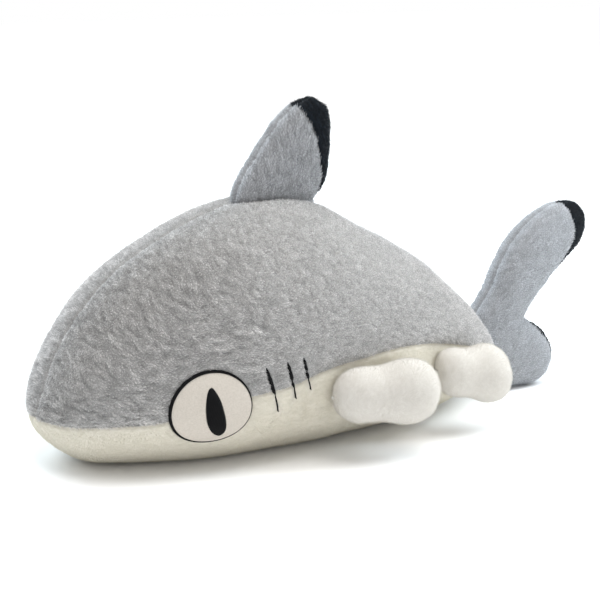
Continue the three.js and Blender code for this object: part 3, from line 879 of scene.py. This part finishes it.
def gill(name, line, thin_places, side):
    """A bar of satin stitch over the seam, knobbly, thick in its upper half and drawn out below."""
    places, normals = line
    length = np.linalg.norm(places[-1] - places[0])
    t = np.linspace(0, 1, int(length / STITCH_STEP))
    middle = spline(places, t)
    up = unit(spline(normals, t))
    along = unit(np.gradient(middle, axis=0))
    across = np.cross(along, up)
    run = np.stack([t * length, 0 * t], -1)
    width = 0.5 * GILL_WIDTH * ease(-0.06, 0.16, t) * (1 - 0.72 * ease(0.45, 0.8, t))
    width = width * (0.85 + 0.3 * noise(run, 2.6, 7))
    for place in thin_places:
        width = width * (1 - 0.85 * np.exp(-((t - place) / 0.055) ** 2))
    middle = middle + across * (0.5 * noise(run, 9, 12))[:, None]
    reach = across * width[:, None] - along * 0.5
    thickness = 0.2 + 0.1 * np.minimum(width, 1)
    return threads(name, middle + reach, middle - reach, up, 0.35 + 0.35 * width, thickness, side, sink=0.7)


def closing_stitches(name):
    """White ladder stitches where the stuffing opening was sewn shut."""
    under = []
    for x in CLOSING_SEAM["start"] + CLOSING_SEAM["step"] * np.arange(CLOSING_SEAM["stitches"]):
        hit, _, _, _ = BODY_TREE.ray_cast(Vector((x, 0.01, -50)), Vector((0, 0, 1)))
        under.append(hit[:])
    under = np.array(under)
    reach = np.array([0, CLOSING_SEAM["reach"], 0])
    starts = np.vstack([under - reach, (under + reach)[:-1]])
    ends = np.vstack([under + reach, (under - reach)[1:]])
    down = np.broadcast_to(np.array([0.0, 0, -1]), starts.shape)
    return threads(name, starts, ends, down, 1.4, 0.42, sink=0.6)


def make_eyes_and_stitches():
    felt = textured("eye_felt", (0xbfb8ae, 0xc8c0b6, 0xcfc8bf), 900, 0.35, 0.25, 0.85, 0.15)
    thread = thread_material("black_thread", 0x040406)
    white = thread_material("white_thread", 0xe9e5dd)
    for end, side in SIDES.items():
        place_piece(eye_patch(f"eye_{end}", side), felt, f"eye_patch_{end}")
        place_piece(eye_outline(f"eye_edge_{end}", side), thread, f"eye_outline_{end}")
        place_piece(pupil(f"pupil_stitches_{end}", side), thread, f"pupil_{end}")
        for k, (line, gaps) in enumerate(zip(GILL_LINES, GILL_GAPS), 1):
            made = gill(f"gill_{end}_{k}", line, gaps, side)
            place_piece(made, thread, f"gill_stitch_{end}_{k}")
    place_piece(closing_stitches("ladder_stitches"), white, "closing_stitches")


def place_piece(obj, material, node):
    obj.data.materials.append(material)
    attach(obj, "trunk")
    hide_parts(node)


# -------------------------------------------------------------------- stuffing
def stuffing_lumps(obj):
    """Tufts and hollows of loose fibre."""
    mesh = obj.data
    mesh.update()
    p, n = np.empty(len(mesh.vertices) * 3), np.empty(len(mesh.vertices) * 3)
    mesh.vertices.foreach_get("co", p)
    mesh.vertices.foreach_get("normal", n)
    p, n = p.reshape(-1, 3), n.reshape(-1, 3)
    q = p / MM
    lift = -0.5 + 0.9 * noise(q, 13, 5) + 0.5 * noise(q, 5, 6)
    mesh.vertices.foreach_set("co", (p + n * (lift * MM)[:, None]).ravel())
    mesh.update()


def lobe_stuffing(name, shapes, smoothing):
    """The filling of a fin or of the tail, inside its cover."""
    mesh = fused(f"{name}_form", shapes, 2.4, smoothing, LOBE_FILL_INSET)
    obj = add_object(name, mesh)
    mesh.polygons.foreach_set("use_smooth", [True] * len(mesh.polygons))
    stuffing_lumps(obj)
    return obj


def body_stuffing():
    """The body's filling, closed at both ends."""
    u, angle = grid(np.linspace(0.03, 0.97, 90), np.linspace(-math.pi, math.pi, 121))
    p = body_points(u, angle)
    middle = np.array([BODY_LENGTH / 2, 0, 86])
    reach = np.array([BODY_LENGTH / 2, 92, 86])
    p = middle + (p - middle) * (reach - BODY_FILL_INSET) / reach
    ends = [np.broadcast_to(row.mean(0), row.shape) for row in (p[0], p[-1])]
    p = np.concatenate([ends[0][None], p, ends[1][None]])
    obj = new_mesh("body_fill", p, grid_faces(*p.shape[:2]))
    weld(obj)
    stuffing_lumps(obj)
    return obj


def stub_fill(name, stub, side):
    share, turn = grid(np.linspace(0, 1, 34), np.linspace(0, 2 * math.pi, 37))
    at, radius = stub_profile(stub, share)
    p = around_stub(stub, 0.08 + 0.84 * at, np.maximum(radius - STUB_FILL_INSET, 0), turn)
    obj = new_mesh(name, on_side(p, side), grid_faces(*share.shape, side < 0))
    weld(obj)
    stuffing_lumps(obj)
    return obj


def make_stuffing():
    fibre = textured("fibre", (0xe6e6e4, 0xf2f2f0, 0xfbfbfa), 500, 0.8, 0.8, 0.95, 0.3)
    pieces = [
        (body_stuffing(), "trunk", "body_stuffing"),
        (lobe_stuffing("dorsal_fin_fill", [DORSAL], 2), DORSAL_BEND, "dorsal_fin_stuffing"),
        (lobe_stuffing("tail_fill", [TAIL_UPPER, TAIL_LOWER], 3), TAIL_BEND, "tail_stuffing"),
    ]
    for kind, stub in STUBS.items():
        for end, side in SIDES.items():
            fill = stub_fill(f"{kind}_fill_{end}", stub, side)
            pieces.append((fill, f"{kind}_{end}", f"{kind}_stuffing_{end}"))
    for obj, carrier, node in pieces:
        obj.data.materials.append(fibre)
        if isinstance(carrier, str):
            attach(obj, carrier)
        else:
            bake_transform(obj)
        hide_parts(node)


# ------------------------------------------------------------------- materials
def give(socket, value):
    """Links a socket to the socket that is given, or sets it to a plain value."""
    if isinstance(value, bpy.types.NodeSocket):
        socket.id_data.links.new(value, socket)
    else:
        socket.default_value = value


def add_node(nodes, kind, **inputs):
    """A new node with some of its inputs given."""
    node = nodes.new(kind)
    set_inputs(node, **inputs)
    return node


def set_inputs(node, **inputs):
    """Gives a node's inputs by name; an underscore stands for a space in an input's name."""
    for label, value in inputs.items():
        give(node.inputs[label.replace("_", " ")], value)


def node_material(name):
    material = bpy.data.materials.new(name)
    material.use_nodes = True
    nodes = material.node_tree.nodes
    return material, nodes, nodes["Principled BSDF"]


def relief(nodes, height, strength, millimetres):
    return add_node(
        nodes, "ShaderNodeBump", Strength=strength, Distance=millimetres * MM, Height=height).outputs[0]


def color(hex_value):
    """A linear colour from a hex code."""
    parts = [(hex_value >> shift & 255) / 255 for shift in (16, 8, 0)]
    return [c / 12.92 if c <= 0.04045 else ((c + 0.055) / 1.055) ** 2.4 for c in parts] + [1]


def stretched_coordinates(nodes, along, across):
    """The cover's own coordinates in units of one lock of pile."""
    uv = nodes.new("ShaderNodeUVMap")
    uv.uv_map = "weave"
    scale = (1 / (along * MM), 1 / (across * MM), 1)
    return add_node(nodes, "ShaderNodeMapping", Vector=uv.outputs[0], Scale=scale).outputs[0]


def carried(nodes, label):
    """A value that the mesh or the fibres carry under a name."""
    node = nodes.new("ShaderNodeAttribute")
    node.attribute_name = label
    return node.outputs["Fac"]


def ramp(nodes, factor, stops):
    """Colours from hex codes at places from 0 to 1."""
    node = add_node(nodes, "ShaderNodeValToRGB", Fac=factor)
    elements = node.color_ramp.elements
    elements[0].position, elements[0].color = stops[0][0], color(stops[0][1])
    elements[1].position, elements[1].color = stops[-1][0], color(stops[-1][1])
    for place, shade in stops[1:-1]:
        elements.new(place).color = color(shade)
    return node


def plush_skin(name, dark, mid, light, along, across, bump=0.5, sheen=0.35):
    """The cloth under the pile, streaked like the locks that lie on it."""
    material, nodes, shader = node_material(name)
    where = stretched_coordinates(nodes, along, across)
    lock = add_node(
        nodes, "ShaderNodeTexNoise", Vector=where, Scale=1.0, Detail=4, Roughness=0.62, Distortion=0.6)
    both = nodes.new("ShaderNodeMath")
    both.operation = "MULTIPLY_ADD"
    for socket, value in zip(both.inputs, (carried(nodes, "lock"), 0.11, lock.outputs["Fac"])):
        give(socket, value)
    shades = ramp(nodes, both.outputs[0], [(0.25, dark), (0.5, mid), (0.75, light)])
    set_inputs(
        shader, Base_Color=shades.outputs[0], Normal=relief(nodes, lock.outputs["Fac"], bump, 0.6),
        Roughness=0.92, Sheen_Weight=sheen, Sheen_Roughness=0.5, Specular_IOR_Level=0.15)
    return material


def pile_material(name, root, tip, soft=0.5):
    """Fibres, darker at the root as painted shade deep in the pile, each lock a little lighter or darker than
    the next.
    """
    material, nodes, shader = node_material(name)
    # Root colour to tip colour along each fibre: the darker root is painted shade deep in the pile.
    along = ramp(nodes, nodes.new("ShaderNodeHairInfo").outputs["Intercept"], [(0.0, root), (0.75, tip)])
    shade = nodes.new("ShaderNodeMix")
    shade.data_type, shade.blend_type = "RGBA", "MULTIPLY"
    give(shade.inputs[0], 1.0)
    give(shade.inputs[6], along.outputs[0])
    give(shade.inputs[7], carried(nodes, "tint"))
    set_inputs(shader, Base_Color=shade.outputs[2], Roughness=0.75, Specular_IOR_Level=0.2)
    through = add_node(nodes, "ShaderNodeBsdfTranslucent", Color=shade.outputs[2])
    blend = nodes.new("ShaderNodeMixShader")
    for socket, value in zip(blend.inputs, (soft, shader.outputs[0], through.outputs[0])):
        give(socket, value)
    set_inputs(nodes["Material Output"], Surface=blend.outputs[0])
    return material


def textured(name, shades, scale, bump, distance, roughness, sheen):
    """A matt material whose colour and relief come from fine noise."""
    material, nodes, shader = node_material(name)
    where = nodes.new("ShaderNodeTexCoord").outputs["Object"]
    grain = add_node(nodes, "ShaderNodeTexNoise", Vector=where, Scale=scale, Detail=5, Roughness=0.65)
    tone = ramp(nodes, grain.outputs["Fac"], list(zip((0.3, 0.5, 0.7), shades)))
    set_inputs(
        shader, Base_Color=tone.outputs[0], Normal=relief(nodes, grain.outputs["Fac"], bump, distance),
        Roughness=roughness, Sheen_Weight=sheen, Sheen_Roughness=0.45, Specular_IOR_Level=0.2)
    return material


def thread_material(name, hex_value):
    """Spun thread: fine twisted strands along each stitch."""
    material, nodes, shader = node_material(name)
    uv = nodes.new("ShaderNodeUVMap")
    uv.uv_map = "weave"
    twist = add_node(nodes, "ShaderNodeTexWave", Vector=uv.outputs[0], Scale=5, Distortion=1.5)
    twist.bands_direction = "DIAGONAL"
    shades = ramp(nodes, twist.outputs["Fac"], [(0.2, hex_value), (0.9, hex_value)])
    shades.color_ramp.elements[1].color = [min(1, c * 1.6 + 0.003) for c in color(hex_value)[:3]] + [1]
    set_inputs(
        shader, Base_Color=shades.outputs[0], Normal=relief(nodes, twist.outputs["Fac"], 0.4, 0.1),
        Roughness=0.6, Specular_IOR_Level=0.15)
    return material


# ------------------------------------------------------------------------ pile
def pile_group():
    """Geometry nodes that grow combed, clumped fibres on a cover, from the attributes that it carries."""
    tree = bpy.data.node_groups.new("pile", "GeometryNodeTree")
    sockets = dict.fromkeys(("Density", "Radius", "Clump", "Cell", "Fuzz", "Shade"), "Float")
    for label, kind in {"Geometry": "Geometry", "Cover": "Object", **sockets, "Material": "Material"}.items():
        tree.interface.new_socket(label, in_out="INPUT", socket_type=f"NodeSocket{kind}")
    tree.interface.new_socket("Geometry", in_out="OUTPUT", socket_type="NodeSocketGeometry")
    nodes = tree.nodes
    setting = nodes.new("NodeGroupInput").outputs

    def named(label, kind="FLOAT"):
        node = add_node(nodes, "GeometryNodeInputNamedAttribute", Name=label)
        node.data_type = kind
        return node.outputs[0]

    def maths(operation, a, b=0.0):
        node = nodes.new("ShaderNodeMath")
        node.operation = operation
        give(node.inputs[0], a)
        give(node.inputs[1], b)
        return node.outputs[0]

    def plus(a, b):
        return maths("ADD", a, b)

    def minus(a, b):
        return maths("SUBTRACT", a, b)

    def times(a, b):
        return maths("MULTIPLY", a, b)

    def vector(operation, a, b=(0, 0, 0)):
        node = nodes.new("ShaderNodeVectorMath")
        node.operation = operation
        give(node.inputs[0], a)
        give(node.inputs["Scale" if operation == "SCALE" else 1], b)
        return node.outputs["Vector"]

    def random(kind, seed, low, high, **inputs):
        node = add_node(nodes, "FunctionNodeRandomValue", Seed=seed, **inputs)
        node.data_type = kind
        first = 0 if kind == "FLOAT_VECTOR" else 2
        give(node.inputs[first], low)
        give(node.inputs[first + 1], high)
        return node.outputs[first // 2]

    def store(geometry, label, kind, value):
        node = nodes.new("GeometryNodeStoreNamedAttribute")
        node.data_type, node.domain = kind, "POINT"
        set_inputs(node, Geometry=geometry, Name=label, Value=value)
        return node.outputs[0]

    # Roots: spread over the outer face of the cloth, where the cover says that pile grows.
    cover = add_node(nodes, "GeometryNodeObjectInfo", Object=setting["Cover"])
    cover.transform_space = "RELATIVE"
    outside = maths("COMPARE", nodes.new("GeometryNodeInputMaterialIndex").outputs[0], 0.0)
    outside.node.inputs[2].default_value = 0.5
    spread = add_node(
        nodes, "GeometryNodeDistributePointsOnFaces", Mesh=cover.outputs["Geometry"], Selection=outside,
        Density=times(setting["Density"], named("pile")), Seed=5)
    place = nodes.new("GeometryNodeInputPosition").outputs[0]
    points = store(spread.outputs["Points"], "root", "FLOAT_VECTOR", place)
    points = store(points, "upright", "FLOAT_VECTOR", spread.outputs["Normal"])

    # Tint: random tone from patches, single fibres and clumps, and painted shade from the locks, lighter on
    # raised locks and darker on low ones; all stronger where the pile is longer.
    patch = add_node(nodes, "ShaderNodeTexNoise", Vector=place, Scale=260, Detail=2)
    light = times(minus(patch.outputs[0], 0.5), 0.5)
    light = plus(light, times(minus(random("FLOAT", 2, 0.0, 1.0), 0.5), 0.1))
    # Follows the locks' relief: painted shade, darker where the locks lie low.
    light = plus(light, times(named("lock"), 0.3))
    cell = add_node(nodes, "ShaderNodeTexVoronoi", Vector=place, Scale=setting["Cell"])
    light = plus(light, times(minus(cell.outputs["Color"], 0.5), 0.8))
    light = times(times(light, setting["Shade"]), times(named("pile_length"), 500))
    points = store(points, "tint", "FLOAT", plus(light, 1.0))

    # One short line of five points for each root.
    line = add_node(nodes, "GeometryNodeResampleCurve", Count=5)
    set_inputs(line, Curve=nodes.new("GeometryNodeCurvePrimitiveLine").outputs[0])
    instance = add_node(nodes, "GeometryNodeInstanceOnPoints", Points=points, Instance=line.outputs[0])
    real = add_node(nodes, "GeometryNodeRealizeInstances", Geometry=instance.outputs[0])

    # Shape: each fibre rises, leans over along the comb and strays a little.
    t = nodes.new("GeometryNodeSplineParameter").outputs["Factor"]
    root, upright, comb = (named(label, "FLOAT_VECTOR") for label in ("root", "upright", "comb"))
    which = nodes.new("GeometryNodeCurveOfPoint").outputs["Curve Index"]
    wild = random("FLOAT_VECTOR", 9, (-1, -1, -1), (1, 1, 1), ID=which)
    length = times(named("pile_length"), random("FLOAT", 4, 0.7, 1.15, ID=which))
    length = times(length, plus(1.0, times(named("lock"), 0.15)))
    lay = nodes.new("ShaderNodeVectorMath")
    lay.operation = "LENGTH"
    give(lay.inputs[0], comb)
    stand = minus(1.0, times(lay.outputs["Value"], 0.62))
    rise = times(times(t, stand), minus(1.45, times(t, 0.45)))
    slide = times(t, plus(0.35, times(t, 0.75)))
    shape = vector("ADD", vector("SCALE", upright, rise), vector("SCALE", comb, slide))
    shape = vector("ADD", shape, vector("SCALE", wild, times(times(t, t), setting["Fuzz"])))
    shape = vector("SCALE", shape, length)

    # Clumps: the tips are pulled towards the middle of their cell.
    cells = add_node(nodes, "ShaderNodeTexVoronoi", Vector=root, Scale=setting["Cell"])
    pull = vector("SUBTRACT", cells.outputs["Position"], root)
    pull = vector("SCALE", pull, times(times(t, t), setting["Clump"]))
    final = vector("ADD", vector("ADD", root, shape), pull)
    move = add_node(nodes, "GeometryNodeSetPosition", Geometry=real.outputs[0], Position=final)

    radius = times(minus(1.0, times(t, 0.8)), setting["Radius"])
    width = add_node(nodes, "GeometryNodeSetCurveRadius", Curve=move.outputs[0], Radius=radius)
    dressed = add_node(
        nodes, "GeometryNodeSetMaterial", Geometry=width.outputs[0], Material=setting["Material"])
    add_node(nodes, "NodeGroupOutput", Geometry=dressed.outputs[0])
    return tree


PILE = pile_group()


def grow_pile(obj, material, density, radius, clump, cell, fuzz, shade):
    """Fibres on a cover: density per square millimetre, radius and cell size in millimetres."""
    name = f"{obj.name}_pile"
    fibres = add_object(name, bpy.data.hair_curves.new(name))
    modifier = fibres.modifiers.new("pile", "NODES")
    modifier.node_group = PILE
    settings = dict(
        Cover=obj, Density=density * quality(1.0) / MM ** 2, Radius=radius * MM * quality(1.0),
        Clump=clump, Cell=1 / (cell * MM), Fuzz=fuzz, Shade=shade, Material=material)
    for item in PILE.interface.items_tree:
        if item.name in settings and item.in_out == "INPUT":
            modifier[item.identifier] = settings[item.name]


def thicken(obj):
    """Gives a cover its cloth's thickness, inwards, with crisp edges where it is cut."""
    def crisp(bm):
        for edge in bm.edges:
            edge.smooth = not edge.is_boundary

    change_mesh(obj, crisp)
    modifier = obj.modifiers.new("cloth", "SOLIDIFY")
    modifier.thickness, modifier.offset = CLOTH * MM, -1
    modifier.use_rim = True
    modifier.material_offset, modifier.material_offset_rim = 1, 2


def finish_cover(obj, skin, fur):
    """Cloth with its outer face, back and rim, and the pile on it."""
    for cloth_face in (skin, BACKING, skin):
        obj.data.materials.append(cloth_face)
    grow_pile(obj, **fur)
    thicken(obj)


# ---------------------------------------------------------------------- camera
def make_camera():
    azimuth, elevation = math.radians(CAMERA["azimuth"]), math.radians(CAMERA["elevation"])
    level = math.cos(elevation)
    back = Vector((math.sin(azimuth) * level, -math.cos(azimuth) * level, math.sin(elevation)))
    data = bpy.data.cameras.new("camera")
    data.lens, data.sensor_width = CAMERA["lens"], 36
    camera = add_object("camera", data)
    camera.location = Vector(CAMERA["target"]) + back * CAMERA["distance"]
    camera.rotation_euler = (-back).to_track_quat("-Z", "Y").to_euler()
    bpy.context.scene.camera = camera


def area_light(name, place, target, size, power, tone):
    data = bpy.data.lights.new(name, "AREA")
    data.size, data.energy, data.color = size, power, tone
    light = add_object(name, data)
    light.location = place
    light.rotation_euler = (Vector(target) - Vector(place)).to_track_quat("-Z", "Y").to_euler()


def make_world():
    """An even fill light, with a pure white backdrop for the camera."""
    world = bpy.data.worlds.new("studio")
    bpy.context.scene.world = world
    world.use_nodes = True
    nodes = world.node_tree.nodes
    fill = nodes["Background"]
    set_inputs(fill, Color=(1, 1, 1, 1), Strength=WORLD_FILL)
    backdrop = add_node(nodes, "ShaderNodeBackground", Color=(1, 1, 1, 1))
    seen = nodes.new("ShaderNodeLightPath").outputs["Is Camera Ray"]
    choose = nodes.new("ShaderNodeMixShader")
    for socket, value in zip(choose.inputs, (seen, fill.outputs[0], backdrop.outputs[0])):
        give(socket, value)
    set_inputs(nodes["World Output"], Surface=choose.outputs[0])
    bpy.context.scene.view_settings.view_transform = "Standard"


def make_floor():
    """A pale floor that fades into the backdrop."""
    near, far = -FLOOR_HALF, FLOOR_HALF
    middle = TOTAL_LENGTH / 2
    corners = [(middle + x, y, 0) for x, y in ((near, near), (far, near), (far, far), (near, far))]
    floor = new_mesh("floor", corners, [(0, 1, 2, 3)])
    floor.location.z = -FLOOR_GAP * MM
    material, nodes, shader = node_material("pale_floor")
    grain = add_node(nodes, "ShaderNodeTexNoise", Scale=3)
    tone = ramp(nodes, grain.outputs[0], [(0.0, 0xf9f9f9), (1.0, 0xffffff)])
    away = nodes.new("ShaderNodeVectorMath")
    away.operation = "LENGTH"
    give(away.inputs[0], nodes.new("ShaderNodeTexCoord").outputs["Object"])
    glow = nodes.new("ShaderNodeMapRange")
    for socket, value in zip(glow.inputs, (away.outputs["Value"], *FLOOR_FADE, 0.0, FLOOR_GLOW)):
        give(socket, value)
    set_inputs(
        shader, Base_Color=tone.outputs[0], Roughness=0.8, Specular_IOR_Level=0.1,
        Emission_Color=(1, 1, 1, 1), Emission_Strength=glow.outputs[0])
    floor.data.materials.append(material)


# ---------------------------------------------------------------------- the toy
make_camera()
make_world()
for light_name, light_settings in LIGHTS.items():
    area_light(light_name, *light_settings)
make_floor()

GREY = plush_skin("grey_cloth", 0x9a9998, 0xacabaa, 0xbdbcbb, 3, 1.4)
WHITE = plush_skin("white_cloth", 0xcfcabc, 0xd7d2c5, 0xdfdacf, 3, 1.6, 0.2)
STUB = plush_skin("stub_cloth", 0xcfcbc4, 0xd5d1cb, 0xdcd9d3, 2.2, 1.6, 0.2)
# The dorsal fin's cloth is a darker copy of the grey cloth: painted shade on the upright fin.
SHADED_FIN_GREY = plush_skin("fin_cloth", 0x939497, 0xa1a2a5, 0xaeafb2, 4, 1.6)
# The tail's cloth is a bluer copy of the grey cloth: painted cool light from behind.
COOL_LIT_TAIL_GREY = plush_skin("tail_cloth", 0x999b9f, 0xa7a9ad, 0xb4b6ba, 4, 1.6)
# The black cloth's lighter, bluish shades are painted highlight, the cool sheen on the pile, over the cloth's
# own black.
BLACK = plush_skin("black_cloth", 0x070a0f, 0x0e1319, 0x1c242d, 5, 1.8, 0.5, 0.15)
BACKING = plush_skin("backing_cloth", 0xcfccc6, 0xdedbd5, 0xe8e6e1, 1.2, 1.2, 0.3, 0.1)


def fur(name, root, tip, soft=0.5, **settings):
    """How one kind of pile grows, with a material of its own."""
    return dict(material=pile_material(name, root, tip, soft), **settings)


# In each pile the first colour is the root's, darker than the tip's: painted shade deep in the pile.
GREY_LAY = dict(density=2.6, radius=0.12, clump=0.85, cell=1.6, fuzz=0.18)
GREY_FUR = fur("grey_pile", 0xa8a7a6, 0xe2e0df, **GREY_LAY, shade=0.38)
# The dorsal fin's pile is a darker copy of the grey pile: painted shade on the upright fin.
SHADED_FIN_FUR = fur("fin_pile", 0xa0a1a3, 0xd6d7d9, 0.45, **GREY_LAY, shade=0.3)
# The tail's pile is a bluer copy of the grey pile: painted cool light from behind.
COOL_LIT_TAIL_FUR = fur("tail_pile", 0xa9abae, 0xdee0e3, 0.45, **GREY_LAY, shade=0.3)
WHITE_FUR = fur(
    "white_pile", 0xd7d2c4, 0xe3dfd3, density=2.2, radius=0.09, clump=0.4, cell=1.7, fuzz=0.2, shade=0.06)
STUB_FUR = fur(
    "stub_pile", 0xd5d1ca, 0xdedbd5, density=2.4, radius=0.08, clump=0.3, cell=1.6, fuzz=0.3, shade=0.05)
# The black pile's bluish tip colour is painted highlight, the cool sheen on the pile, over the cloth's own
# black.
BLACK_FUR = fur(
    "black_pile", 0x070a0f, 0x16202a, 0.1, density=2.0, radius=0.12, clump=0.7, cell=1.8, fuzz=0.3, shade=0.3)

for node, obj in make_body().items():
    if node == "belly_panel":
        finish_cover(obj, WHITE, WHITE_FUR)
    else:
        finish_cover(obj, GREY, GREY_FUR)
    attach(obj, "trunk")
    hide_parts(node)

for lobes, skin, pile, bend in (
        (make_dorsal(), SHADED_FIN_GREY, SHADED_FIN_FUR, DORSAL_BEND), (make_tail(), COOL_LIT_TAIL_GREY, COOL_LIT_TAIL_FUR, TAIL_BEND)):
    for node, obj in lobes.items():
        if "_tip_" in node:
            finish_cover(obj, BLACK, BLACK_FUR)
        else:
            finish_cover(obj, skin, pile)
        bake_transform(obj)
        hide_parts(node)

for (kind, half, end), obj in make_stubs().items():
    finish_cover(obj, STUB, STUB_FUR)
    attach(obj, f"{kind}_{end}")
    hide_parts(f"{kind}_{half}_{end}")

make_eyes_and_stitches()
make_stuffing()
